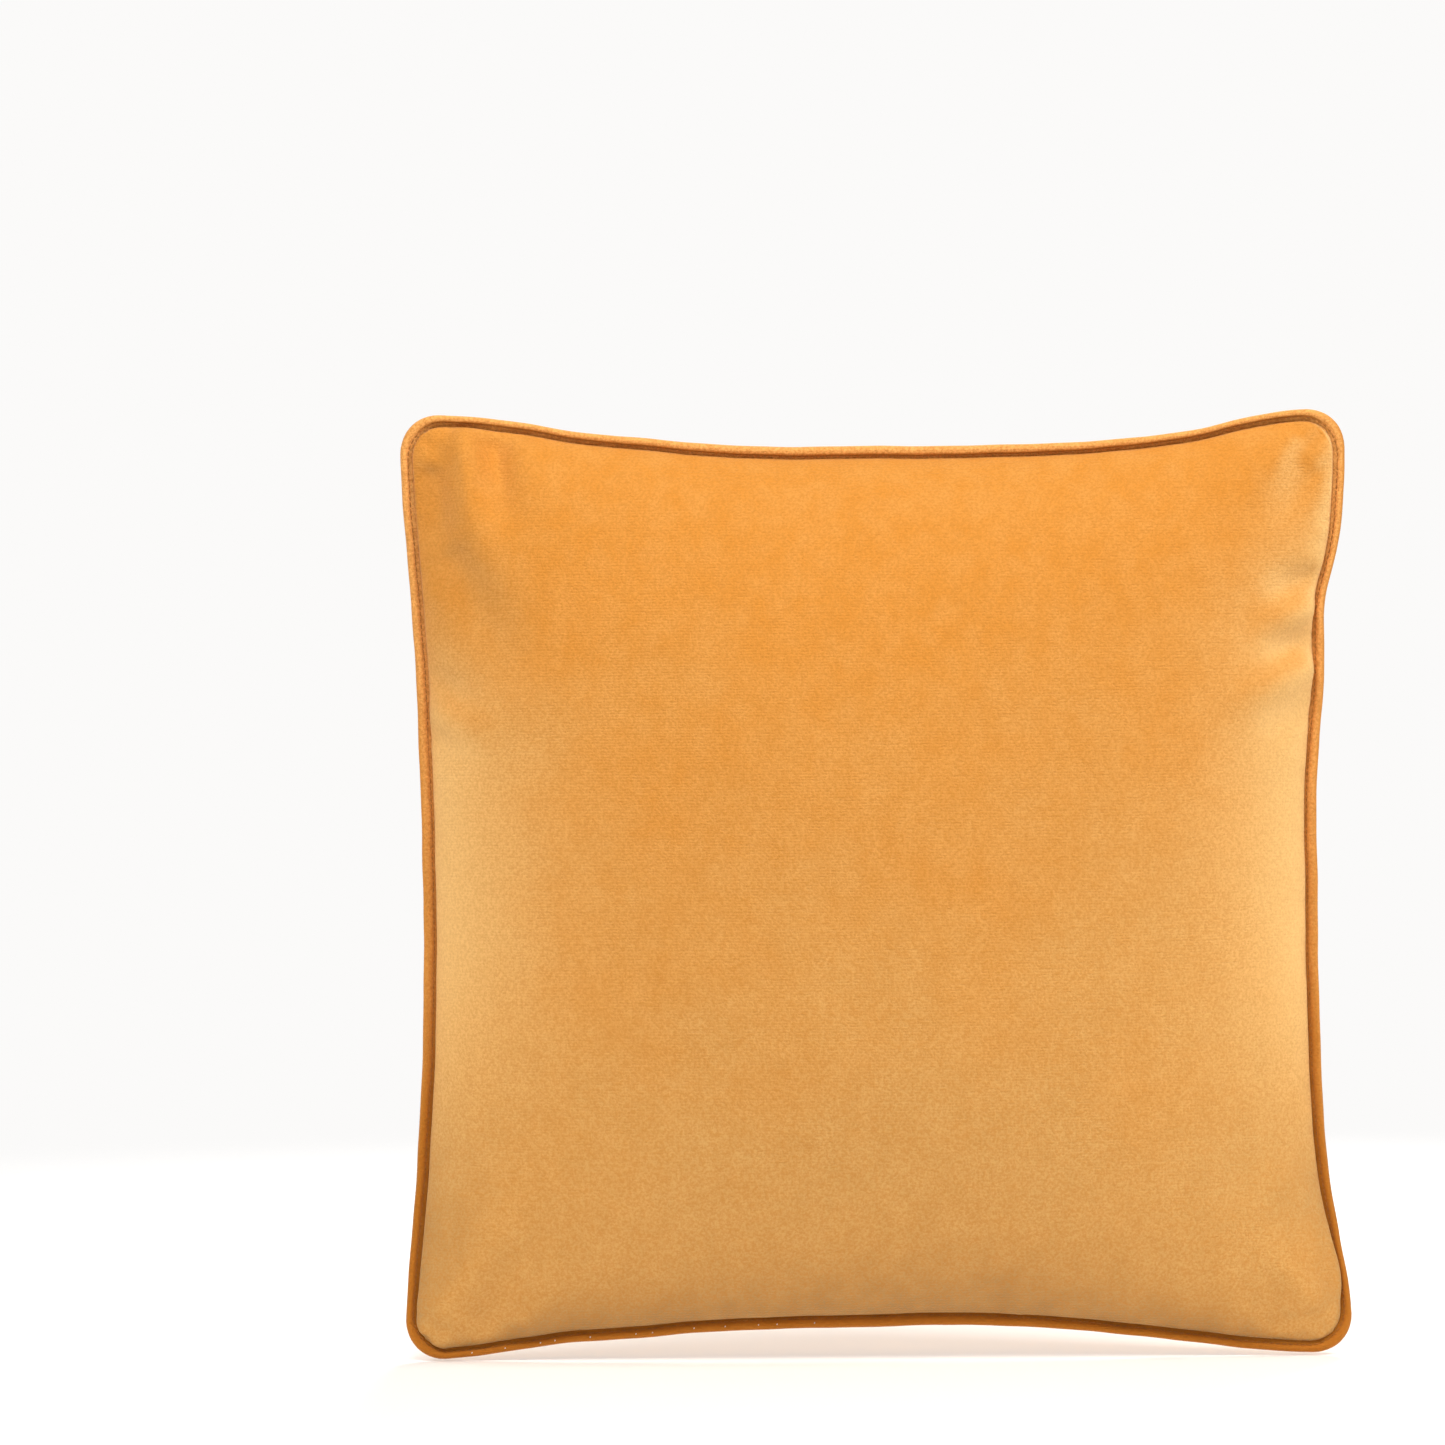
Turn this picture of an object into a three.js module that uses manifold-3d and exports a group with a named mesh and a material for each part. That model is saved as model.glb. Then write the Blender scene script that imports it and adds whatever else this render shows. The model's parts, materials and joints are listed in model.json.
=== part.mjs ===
// A square throw pillow, standing on its lower edge. X is its width, Y its thickness and Z is up.
// The front faces -Y.
// A velvet cover with a piped edge and a concealed zip in the lower seam holds a filled insert.
// Each layer of cloth is a thin closed shell, and the layers lie inside each other with a small gap.
// A cross-section through the edge is given in two numbers: the inset from the piping's centre line towards
// the middle of the pillow, and the height in Y from the seam's plane.
import * as THREE from "three";
import { mergeVertices } from "three/addons/utils/BufferGeometryUtils.js";
import Module from "manifold-3d";

// ---- Driving dimensions, in millimetres ----

const SIZE = 457.2; // width and height over the piping, an 18 inch cover
const CROWN = 70; // from the seam's plane to the flattened middle of each panel
const DOME_RISE = 76; // height that the dome would reach if its middle were not flattened
const SIDE_BOW_RADIUS = 1800; // the left and right edges curve in on this radius
const END_BOW_RADIUS = 1450; // the upper and lower edges curve in on this one
const CORNER_RADIUS = 13; // of the piping's centre line

const GAP = 0.3; // between neighbouring layers
const VELVET = 1.0; // thickness of the cover's cloth, with its pile
const TICKING = 0.6; // thickness of the insert's cloth

const PIPING_RADIUS = 2.7; // outside of the velvet strip round the cord
const CORD_RADIUS = 1.8;
const STRIP = 0.6; // thickness of the strip
const SEAM_INSET = 2.9; // where the panels are sewn against the piping
const ALLOWANCE_END = 12; // inset at which the seam allowances are cut off
const SEAM_LIFT = 2.6; // height that the folded allowances give the panel just inside the seam
const FOLD_INSET = 6.6; // inset of the fold on a panel's inner face
const COVER_THREAD_INSET = 9; // line of the seam's stitching on the allowances

const INSERT_SETBACK = 3.8; // of the insert's edge from its outermost grid line
const INSERT_FOLD = 3; // from the insert's edge to the fold on a panel's inner face
const INSERT_ALLOWANCE = 8;
const INSERT_THREAD = 6.5; // from the insert's edge to its seam's thread
const FILL_BULGE = 1.5; // of the fill at its sides, past its last grid line
const FILL_EDGE_HALF = 5; // half the height of the fill's side, over the insert's allowances
const CLOSING_INSET = 13.2; // inset of the stitch that closes the insert's filling gap
const CLOSING_HALF = 55; // half the length of that gap

const LABEL_RUN = [
  [8.6, 2.5],
  [10.5, 7],
  [13.5, 12.5],
  [17.5, 16.6],
]; // insets and heights that the care label runs through, from its sewn end
const LABEL_THICKNESS = [-0.3, 0.2]; // as an inset and a height
const LABEL_SHARE = 0.08; // share of the left side that each half of the label's width takes

const SLIT_Y = 4; // middle plane of the zip's slit
const NECK = 0.9; // thickness of the slider's neck, which runs in the slit
const NECK_GAP = 0.35; // from the neck to a coil or to the lip of the slit
const COIL_RADIUS = 0.75;
const COIL_INSET = 6.2; // inset of the coils' centre line
const TAPE = 0.4; // thickness of a zip tape
const FRONT_TAPE_INSET = 3.6; // where the front tape starts, beside the coils
const BACK_TAPE_INSET = 4.2; // where the back tape starts, inside the hem's fold
const TAPE_TOP = 12.6; // inset at which the tapes end
const STITCH_INSET = 10.2; // line of the stitching on the tapes
const ZIP_HALF = 164; // half the length of the tapes, along the edge
const COIL_HALF = 152; // half the length of the coils
const STOP_LENGTH = 2.6;
const STOP_HALF = 1.3; // half the width of a stop across the coils

const SLIDER_LENGTH = 8;
const PLATE = 0.8; // thickness of the slider's two plates
const PLATE_PLAY = 0.05; // between a plate's edge and the tape
const NECK_HALF = 3; // half the length of the neck along the edge, in the slit
const NECK_FOOT = 1.6; // inset at which the neck narrows
const LUG_TOP = 0.2; // inset at which the lug starts
const LUG_RADIUS = 1.2;
const PIVOT_INSET = -1.4; // inset of the pull's hinge, just outside the seam
const PIVOT_HOLE = 0.75;
const PIN_RADIUS = 0.45;
const PULL_LENGTH = 18;
const PULL_HALF = 0.4; // half the thickness of the pull, and the thickness of its arms
const EYE_RADIUS = 0.9; // of the arms round the pin
const ARM_LENGTH = 3.4;
const BLADE_START = 2.6; // distance from the pin at which the blade starts
const THREAD = 0.4; // side of a thread's square section

const VELVET_COLOUR = 0xe39a4c;
const PIPING_COLOUR = 0xd98f43;
const TICKING_COLOUR = 0xf0eee8;
const FILL_COLOUR = 0xfafaf7;
const COTTON_COLOUR = 0xe9dfc9;
const THREAD_COLOUR = 0xdc9247;
const TAPE_COLOUR = 0xcf8640;
const METAL_COLOUR = 0xb8a27a;

// ---- Edge: four long arcs that bow inwards, joined by round corners ----

const MIDDLE_Z = SIZE / 2;
const HALF = SIZE / 2 - PIPING_RADIUS;
const CORNER_CENTRE = HALF - CORNER_RADIUS;
const ARC_SHARE = 0.95; // share of each half side that the long arc takes; the corner has the rest

function makeSide(radius, outward, along) {
  const toCorner = radius + CORNER_RADIUS;
  const reach = CORNER_CENTRE + Math.sqrt(toCorner ** 2 - CORNER_CENTRE ** 2);
  return { radius, outward, along, reach, sweep: Math.asin(CORNER_CENTRE / toCorner) };
}

const LOWER = makeSide(END_BOW_RADIUS, [0, -1], [1, 0]);
const UPPER = makeSide(END_BOW_RADIUS, [0, 1], [1, 0]);
const LEFT = makeSide(SIDE_BOW_RADIUS, [-1, 0], [0, 1]);
const RIGHT = makeSide(SIDE_BOW_RADIUS, [1, 0], [0, 1]);
const CORNER_NORMAL_SPAN = Math.PI / 2 + LOWER.sweep + LEFT.sweep;

// The place on a side. The share runs from -1 at one corner's middle to 1 at the other's.
function onSide(side, share, inset) {
  const size = Math.abs(share);
  let along;
  let out;
  if (size <= ARC_SHARE) {
    const angle = (side.sweep * size) / ARC_SHARE;
    along = (side.radius + inset) * Math.sin(angle);
    out = side.reach - (side.radius + inset) * Math.cos(angle);
  } else {
    const turn = ((size - ARC_SHARE) / (1 - ARC_SHARE)) * (CORNER_NORMAL_SPAN / 2);
    const normal = side.sweep - turn;
    along = CORNER_CENTRE - (CORNER_RADIUS - inset) * Math.sin(normal);
    out = CORNER_CENTRE + (CORNER_RADIUS - inset) * Math.cos(normal);
  }
  along *= Math.sign(share);
  const x = side.along[0] * along + side.outward[0] * out;
  const z = side.along[1] * along + side.outward[1] * out;
  return new THREE.Vector3(x, 0, MIDDLE_Z + z);
}

// ---- Grid: the lines that every dome shares, from the middle of the pillow to its edge ----

const HALF_LINES = [0.3, 0.55, 0.75, 0.88, ARC_SHARE, 0.975, 1];
const LINES = [...HALF_LINES.map((s) => -s).reverse(), 0, ...HALF_LINES];
const LAST = LINES.length - 1;
const MIDDLE = LAST / 2;
const INSERT_LINES = 2; // the insert leaves out this many lines at each edge
const FILL_LINES = 3;

// The lines' numbers round the edge of the grid that is left inside a margin, from the lower left corner.
function edgeOrder(margin) {
  const low = margin;
  const high = LAST - margin;
  const order = [];
  for (let i = low; i < high; i++) order.push([i, low]);
  for (let j = low; j < high; j++) order.push([high, j]);
  for (let i = high; i > low; i--) order.push([i, high]);
  for (let j = high; j > low; j--) order.push([low, j]);
  return order;
}

function onEdge([i, j], inset) {
  if (j === 0) return onSide(LOWER, LINES[i], inset);
  if (i === LAST) return onSide(RIGHT, LINES[j], inset);
  if (j === LAST) return onSide(UPPER, LINES[i], inset);
  return onSide(LEFT, LINES[j], inset);
}

// A place inside the edge, blended from the four sides.
function insideEdge(s, t) {
  const mix = (a, b, share) => a.clone().lerp(b, (1 + share) / 2);
  const place = mix(onSide(LOWER, s, SEAM_INSET), onSide(UPPER, s, SEAM_INSET), t);
  place.add(mix(onSide(LEFT, t, SEAM_INSET), onSide(RIGHT, t, SEAM_INSET), s));
  const lowerCorners = mix(onSide(LOWER, -1, SEAM_INSET), onSide(LOWER, 1, SEAM_INSET), s);
  const upperCorners = mix(onSide(UPPER, -1, SEAM_INSET), onSide(UPPER, 1, SEAM_INSET), s);
  return place.sub(mix(lowerCorners, upperCorners, t));
}

// ---- Cross-section of the cover's seam, without and with the zip ----

const SEAM_Y = GAP / 2 + STRIP + GAP; // height of a panel's allowance over the seam's plane
const COIL_Y = SLIT_Y - NECK / 2 - NECK_GAP - COIL_RADIUS;
const TAPE_Y = COIL_Y - COIL_RADIUS - GAP; // face of the front tape that its coil lies on
const HEM_Y = 2 * SLIT_Y - TAPE_Y + TAPE + GAP; // face of the back panel's hem that the back tape lies on
const LIP = [2.6, SLIT_Y + NECK / 2 + NECK_GAP]; // edge of the hem's fold, which forms the slit

const PLAIN_SEAM = {
  edge: [SEAM_INSET, SEAM_Y],
  turn: [FOLD_INSET, SEAM_Y],
  end: [ALLOWANCE_END, SEAM_Y],
  endInner: [ALLOWANCE_END, SEAM_Y + VELVET],
  foldInner: [FOLD_INSET, SEAM_Y + VELVET],
};
const ZIP_SEAM = {
  edge: LIP,
  turn: [4, HEM_Y],
  end: [ALLOWANCE_END, HEM_Y],
  endInner: [ALLOWANCE_END, HEM_Y + VELVET],
  foldInner: [6, HEM_Y + VELVET],
};
const ZIP_LINE = 0.75; // the zip's cross-section holds out to this line and has gone by the next

const zipShare = (s) => (Math.abs(s) <= ZIP_LINE ? 1 : 0);

const domeProfile = (s) => Math.pow(1 - Math.pow(Math.abs(s), 2.2), 0.7);

// The dome of the front (facing -1) or the back (facing 1): the outer face's points, and its normals.
function makeDome(facing) {
  const points = LINES.map((s) =>
    LINES.map((t) => {
      const point = insideEdge(s, t);
      const zipLift = facing > 0 ? zipShare(s) * (HEM_Y - SEAM_Y) * ((1 - t) / 2) ** 4 : 0;
      const rise = DOME_RISE * domeProfile(s) * domeProfile(t);
      point.y = facing * Math.min(SEAM_Y + SEAM_LIFT + rise + zipLift, CROWN);
      return point;
    }),
  );
  const normals = points.map((column, i) =>
    column.map((_, j) => {
      const across = points[Math.min(i + 1, LAST)][j].clone().sub(points[Math.max(i - 1, 0)][j]);
      const up = points[i][Math.min(j + 1, LAST)].clone().sub(points[i][Math.max(j - 1, 0)]);
      return up.cross(across).normalize().multiplyScalar(facing);
    }),
  );
  return { facing, points, normals };
}

// The dome moved inwards by a depth, as a function of the grid's line numbers.
const atDepth = (dome, depth) => (i, j) =>
  dome.points[i][j].clone().addScaledVector(dome.normals[i][j], -depth);

// ---- Closed surfaces ----

class Surface {
  constructor() {
    this.positions = [];
    this.faces = [];
  }

  add(point) {
    this.positions.push(point.x, point.y, point.z);
    return this.positions.length / 3 - 1;
  }

  quad(a, b, c, d) {
    this.faces.push(a, b, c, a, c, d);
  }

  // Joins two rows of the same length; a closed row joins its last point to its first.
  strip(row, next, closed) {
    const count = closed ? row.length : row.length - 1;
    for (let k = 0; k < count; k++) {
      const after = (k + 1) % row.length;
      this.quad(row[k], row[after], next[after], next[k]);
    }
  }

  // The geometry, with its faces turned out.
  geometry() {
    const at = (k) => new THREE.Vector3().fromArray(this.positions, 3 * k);
    let volume = 0;
    for (let f = 0; f < this.faces.length; f += 3) {
      const [a, b, c] = this.faces.slice(f, f + 3).map(at);
      volume += a.dot(b.cross(c));
    }
    if (volume < 0) this.faces.reverse();
    const made = new THREE.BufferGeometry();
    made.setAttribute("position", new THREE.Float32BufferAttribute(this.positions, 3));
    made.setIndex(this.faces);
    return made;
  }
}

// A closed body between two domes. The rims are point rings that lead from one dome's edge to the other's.
function domeBody(margin, outer, inner, rims) {
  const surface = new Surface();
  const high = LAST - margin;
  const order = edgeOrder(margin);
  const domeRing = (face, reversed) => {
    const index = [];
    for (let i = margin; i <= high; i++) {
      index[i] = [];
      for (let j = margin; j <= high; j++) index[i][j] = surface.add(face(i, j));
    }
    for (let i = margin; i < high; i++) {
      for (let j = margin; j < high; j++) {
        const cell = [index[i][j], index[i + 1][j], index[i + 1][j + 1], index[i][j + 1]];
        // Every cell is split by the diagonal that points to the middle, so a corner slopes and isn't flat.
        if (i < MIDDLE !== j < MIDDLE) cell.push(cell.shift());
        const [a, b, c, d] = cell;
        if (reversed) surface.quad(a, d, c, b);
        else surface.quad(a, b, c, d);
      }
    }
    return order.map(([i, j]) => index[i][j]);
  };
  const outerRing = domeRing(outer, true);
  const rings = rims.map((rim) => rim.map((point) => surface.add(point)));
  const innerRing = domeRing(inner, false);
  const all = [outerRing, ...rings, innerRing];
  for (let k = 1; k < all.length; k++) surface.strip(all[k - 1], all[k], true);
  return surface.geometry();
}

// A section swept along a list of places: each place is a function from [inset, height] to a point.
function sweep(section, places, closed) {
  const surface = new Surface();
  const rings = places.map((place) => section.map((spot) => surface.add(place(spot))));
  for (let k = 1; k < rings.length; k++) surface.strip(rings[k - 1], rings[k], true);
  if (closed) {
    surface.strip(rings[rings.length - 1], rings[0], true);
  } else {
    const flat = section.map(([inset, height]) => new THREE.Vector2(inset, height));
    for (const [a, b, c] of THREE.ShapeUtils.triangulateShape(flat, [])) {
      surface.faces.push(rings[0][c], rings[0][b], rings[0][a]);
      const last = rings[rings.length - 1];
      surface.faces.push(last[a], last[b], last[c]);
    }
  }
  return surface.geometry();
}

const placeOnSide = (side, share) => ([inset, height]) =>
  onSide(side, share, inset).setY(height);

const placeOnEdge = (spot) => ([inset, height]) => onEdge(spot, inset).setY(height);

// Places along the lower edge's arc, between two distances from its middle.
function alongLowerEdge(from, to, steps) {
  const places = [];
  for (let k = 0; k <= steps; k++) {
    const distance = from + ((to - from) * k) / steps;
    places.push(placeOnSide(LOWER, (ARC_SHARE * distance) / (LOWER.sweep * LOWER.radius)));
  }
  return places;
}

const boxSection = (insetLow, insetHigh, yLow, yHigh) => [
  [insetLow, yLow],
  [insetHigh, yLow],
  [insetHigh, yHigh],
  [insetLow, yHigh],
];

// Points on a circle about a centre, from one angle to another, both included.
function circlePoints([inset, height], radius, from, to, count) {
  const points = [];
  for (let k = 0; k < count; k++) {
    const angle = from + ((to - from) * k) / (count - 1);
    points.push([inset + radius * Math.cos(angle), height + radius * Math.sin(angle)]);
  }
  return points;
}

function roundSection(centre, radius, sides) {
  return circlePoints(centre, radius, 0, (2 * Math.PI * (sides - 1)) / sides, sides);
}

// ---- The cover ----

function coverPanel(dome) {
  const order = edgeOrder(0);
  const seamOf = ([i, j]) => (dome.facing > 0 && j === 0 && zipShare(LINES[i]) ? ZIP_SEAM : PLAIN_SEAM);
  const spot = (edge, part) => {
    const [inset, height] = seamOf(edge)[part];
    return onEdge(edge, inset).setY(dome.facing * height);
  };
  const isEdge = (i, j) => i === 0 || j === 0 || i === LAST || j === LAST;
  const inside = atDepth(dome, VELVET);
  const outer = (i, j) => (isEdge(i, j) ? spot([i, j], "edge") : dome.points[i][j]);
  const inner = (i, j) => (isEdge(i, j) ? spot([i, j], "foldInner") : inside(i, j));
  const rims = ["turn", "end", "endInner"].map((part) => order.map((edge) => spot(edge, part)));
  return domeBody(0, outer, inner, rims);
}

function pipingStrip() {
  const innerRadius = PIPING_RADIUS - STRIP;
  const flange = [GAP / 2, GAP / 2 + STRIP];
  const outerStart = Math.asin(flange[1] / PIPING_RADIUS);
  const innerStart = Math.asin(flange[0] / innerRadius);
  const section = [
    [ALLOWANCE_END, flange[1]],
    ...circlePoints([0, 0], PIPING_RADIUS, outerStart, 2 * Math.PI - outerStart, 9),
    [ALLOWANCE_END, -flange[1]],
    [ALLOWANCE_END, -flange[0]],
    ...circlePoints([0, 0], innerRadius, 2 * Math.PI - innerStart, innerStart, 9),
    [ALLOWANCE_END, flange[0]],
  ];
  return sweep(section, edgeOrder(0).map(placeOnEdge), true);
}

// The cord goes once round and is butted at the middle of the lower edge.
function pipingCord() {
  const order = edgeOrder(0);
  const middle = order.findIndex(([i, j]) => j === 0 && LINES[i] === 0);
  const places = [...order.slice(middle), ...order.slice(0, middle)].map(placeOnEdge);
  places.push(placeOnSide(LOWER, -0.005));
  return sweep(roundSection([0, 0], CORD_RADIUS, 7), places, false);
}

function coverThread() {
  const top = -(SEAM_Y + VELVET + GAP);
  const section = boxSection(COVER_THREAD_INSET, COVER_THREAD_INSET + THREAD, top - THREAD, top);
  return sweep(section, edgeOrder(0).map(placeOnEdge), true);
}

// A ribbon, sewn to the allowance at the left side and lying between the cover and the insert.
function careLabel() {
  const [thickInset, thickY] = LABEL_THICKNESS;
  const upper = LABEL_RUN.map(([inset, y]) => [inset + thickInset, y + thickY]);
  const section = [...LABEL_RUN, ...upper.reverse()];
  const places = [-LABEL_SHARE, 0, LABEL_SHARE].map((share) => placeOnSide(LEFT, share));
  return sweep(section, places, false);
}

// ---- The insert ----

// A point of the grid at a given height, moved towards the middle of the pillow by a distance.
function movedIn([i, j], distance, height) {
  const point = insideEdge(LINES[i], LINES[j]);
  const scale = 1 - distance / (HALF * Math.max(Math.abs(LINES[i]), Math.abs(LINES[j])));
  return new THREE.Vector3(point.x * scale, height, MIDDLE_Z + (point.z - MIDDLE_Z) * scale);
}

const insertEdge = (edge, distance, height) => movedIn(edge, INSERT_SETBACK + distance, height);

const insertRing = (distance, height) =>
  edgeOrder(INSERT_LINES).map((edge) => insertEdge(edge, distance, height));

function insertPanel(dome) {
  const low = (dome.facing * GAP) / 2;
  const high = dome.facing * (GAP / 2 + TICKING);
  const isEdge = (i, j) => [i, j].some((line) => line === INSERT_LINES || line === LAST - INSERT_LINES);
  const outside = atDepth(dome, VELVET + GAP);
  const inside = atDepth(dome, VELVET + GAP + TICKING);
  const outer = (i, j) => (isEdge(i, j) ? insertEdge([i, j], 0, low) : outside(i, j));
  const inner = (i, j) => (isEdge(i, j) ? insertEdge([i, j], INSERT_FOLD, high) : inside(i, j));
  const rims = [insertRing(INSERT_ALLOWANCE, low), insertRing(INSERT_ALLOWANCE, high)];
  return domeBody(INSERT_LINES, outer, inner, rims);
}

function insertThread() {
  const base = GAP / 2 + TICKING + GAP;
  const section = boxSection(INSERT_THREAD, INSERT_THREAD + THREAD, base, base + THREAD);
  const places = edgeOrder(INSERT_LINES).map((edge) => ([distance, height]) =>
    insertEdge(edge, distance, height),
  );
  return sweep(section, places, true);
}

// The fill bulges a little past its last grid line at the sides, and stands off the insert's allowances.
function fill(front, back) {
  const depth = VELVET + GAP + TICKING + GAP;
  const ring = (height) => edgeOrder(FILL_LINES).map((edge) => movedIn(edge, -FILL_BULGE, height));
  const rims = [ring(-FILL_EDGE_HALF), ring(FILL_EDGE_HALF)];
  return domeBody(FILL_LINES, atDepth(front, depth), atDepth(back, depth), rims);
}

// ---- The zip, in the lower seam ----

const onSlit = (y) => 2 * SLIT_Y - y; // mirrors a height in the slit's middle plane

function zipTape(mirror) {
  const start = mirror ? BACK_TAPE_INSET : FRONT_TAPE_INSET;
  const section = boxSection(start, TAPE_TOP, TAPE_Y - TAPE, TAPE_Y);
  const placed = mirror ? section.map(([inset, y]) => [inset, onSlit(y)]).reverse() : section;
  return sweep(placed, alongLowerEdge(-ZIP_HALF, ZIP_HALF, 16), false);
}

function zipCoil(mirror) {
  const section = roundSection([COIL_INSET, mirror ? onSlit(COIL_Y) : COIL_Y], COIL_RADIUS, 6);
  return sweep(section, alongLowerEdge(-COIL_HALF, COIL_HALF, 22), false);
}

function zipStitch(mirror) {
  const low = mirror ? onSlit(TAPE_Y + GAP + THREAD) : TAPE_Y + GAP;
  const section = boxSection(STITCH_INSET, STITCH_INSET + THREAD, low, low + THREAD);
  return sweep(section, alongLowerEdge(-ZIP_HALF, ZIP_HALF, 16), false);
}

// A stop fills the coils' channel from one height to another and is taller than the slider's mouth.
function zipStop(from, yLow, yHigh) {
  const section = boxSection(COIL_INSET - STOP_HALF, COIL_INSET + STOP_HALF, yLow, yHigh);
  const start = from > 0 ? COIL_HALF + GAP : -COIL_HALF - GAP - STOP_LENGTH;
  return sweep(section, alongLowerEdge(start, start + STOP_LENGTH, 1), false);
}

const wasm = await Module();
wasm.setup();

function toSolid(geometry) {
  const bare = geometry.clone();
  for (const name of Object.keys(bare.attributes)) {
    if (name !== "position") bare.deleteAttribute(name);
  }
  const merged = mergeVertices(bare, 1e-4);
  const vertProperties = new Float32Array(merged.attributes.position.array);
  const triVerts = new Uint32Array(merged.index.array);
  return new wasm.Manifold(new wasm.Mesh({ numProp: 3, vertProperties, triVerts }));
}

function toGeometry(solid) {
  const { vertProperties, triVerts } = solid.getMesh();
  const made = new THREE.BufferGeometry();
  made.setAttribute("position", new THREE.Float32BufferAttribute(vertProperties, 3));
  made.setIndex(new THREE.BufferAttribute(triVerts, 1));
  return made;
}

// A box between two corners, in the slider's own frame: x runs along the edge and z is the inset.
function boxBetween(low, high) {
  const size = high.clone().sub(low);
  const middle = low.clone().add(high).multiplyScalar(0.5);
  return new THREE.BoxGeometry(size.x, size.y, size.z).translate(middle.x, middle.y, middle.z);
}

// A plate cut in the X-Z plane and given a thickness in Y.
function plate(shape, yLow, yHigh, curveSegments) {
  const options = { depth: yHigh - yLow, bevelEnabled: false, curveSegments };
  const made = new THREE.ExtrudeGeometry(shape, options);
  return made.rotateX(Math.PI / 2).translate(0, yHigh, 0);
}

// The slider: a plate on each side of the coils, joined by a neck that ends outside in a lug for the pull.
function zipSlider() {
  const width = COIL_RADIUS * 4 + 2 * NECK_GAP + NECK;
  const yLow = SLIT_Y - width / 2 + PLATE_PLAY;
  const yHigh = SLIT_Y + width / 2 - PLATE_PLAY;
  const half = SLIDER_LENGTH / 2;
  const mouth = COIL_RADIUS + GAP;
  const plates = [COIL_INSET - mouth - PLATE, COIL_INSET + mouth].map((inset) => {
    const low = new THREE.Vector3(-half, yLow, inset);
    const high = new THREE.Vector3(half, yHigh, inset + PLATE);
    return toSolid(boxBetween(low, high));
  });
  const neckEnd = COIL_INSET + mouth + PLATE / 2;
  const outline = new THREE.Shape();
  outline.moveTo(-NECK_HALF, neckEnd);
  outline.lineTo(-NECK_HALF, NECK_FOOT);
  outline.lineTo(-LUG_RADIUS, LUG_TOP);
  outline.lineTo(-LUG_RADIUS, PIVOT_INSET);
  outline.absarc(0, PIVOT_INSET, LUG_RADIUS, Math.PI, 2 * Math.PI, false);
  outline.lineTo(LUG_RADIUS, LUG_TOP);
  outline.lineTo(NECK_HALF, NECK_FOOT);
  outline.lineTo(NECK_HALF, neckEnd);
  outline.holes.push(new THREE.Path().absarc(0, PIVOT_INSET, PIVOT_HOLE, 0, 2 * Math.PI, true));
  const neck = toSolid(plate(outline, SLIT_Y - NECK / 2, SLIT_Y + NECK / 2, 8));
  return toGeometry(neck.add(plates[0]).add(plates[1]));
}

// The pull: a slim tab with two arms and a pin that passes through the slider's lug.
function zipPull() {
  const inner = NECK / 2 + GAP;
  const outer = inner + PULL_HALF;
  const arm = new THREE.Shape();
  arm.moveTo(0, PIVOT_INSET + EYE_RADIUS);
  arm.absarc(0, PIVOT_INSET, EYE_RADIUS, Math.PI / 2, -Math.PI / 2, true);
  arm.lineTo(-ARM_LENGTH, PIVOT_INSET - PULL_HALF);
  arm.lineTo(-ARM_LENGTH, PIVOT_INSET + PULL_HALF);
  const blade = new THREE.Shape();
  blade.moveTo(-BLADE_START, -outer);
  blade.lineTo(-BLADE_START, outer);
  blade.lineTo(-PULL_LENGTH + outer, outer);
  blade.absarc(-PULL_LENGTH + outer, 0, outer, Math.PI / 2, (3 * Math.PI) / 2, false);
  const options = { depth: 2 * PULL_HALF, bevelEnabled: false, curveSegments: 6 };
  const bladeSolid = new THREE.ExtrudeGeometry(blade, options);
  bladeSolid.translate(0, SLIT_Y, PIVOT_INSET - PULL_HALF);
  const pin = new THREE.CylinderGeometry(PIN_RADIUS, PIN_RADIUS, inner + outer, 10);
  pin.translate(0, SLIT_Y, PIVOT_INSET);
  const pieces = [
    plate(arm, SLIT_Y - outer, SLIT_Y - inner, 6),
    plate(arm, SLIT_Y + inner, SLIT_Y + outer, 6),
    pin,
    bladeSolid,
  ].map(toSolid);
  return toGeometry(pieces.reduce((all, piece) => all.add(piece)));
}

// ---- The pillow ----

function material(color, roughness, metalness = 0) {
  return new THREE.MeshStandardMaterial({ color, roughness, metalness });
}

const velvet = material(VELVET_COLOUR, 0.95);
const pipingVelvet = material(PIPING_COLOUR, 0.95);
const ticking = material(TICKING_COLOUR, 0.9);
const thread = material(THREAD_COLOUR, 0.7);
const tape = material(TAPE_COLOUR, 0.85);
const coil = material(TAPE_COLOUR, 0.45);
const metal = material(METAL_COLOUR, 0.35, 0.9);
const whiteThread = material(TICKING_COLOUR, 0.7);

const pillow = new THREE.Group();

function add(name, geometry, finish, parent = pillow) {
  const mesh = new THREE.Mesh(geometry, finish);
  mesh.name = name;
  parent.add(mesh);
}

const frontDome = makeDome(-1);
const backDome = makeDome(1);

add("front_panel", coverPanel(frontDome), velvet);
add("back_panel", coverPanel(backDome), velvet);
add("piping_cover", pipingStrip(), pipingVelvet);
add("piping_cord", pipingCord(), material(COTTON_COLOUR, 0.9));
add("cover_seam_thread", coverThread(), thread);
add("care_label", careLabel(), ticking);

add("insert_front_panel", insertPanel(frontDome), ticking);
add("insert_back_panel", insertPanel(backDome), ticking);
add("insert_seam_thread", insertThread(), whiteThread);
const closing = boxSection(CLOSING_INSET, CLOSING_INSET + THREAD, -THREAD / 2, THREAD / 2);
const closingRun = alongLowerEdge(-CLOSING_HALF, CLOSING_HALF, 6);
add("insert_closing_stitch", sweep(closing, closingRun, false), whiteThread);
add("fibre_fill", fill(frontDome, backDome), material(FILL_COLOUR, 1));

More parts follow.
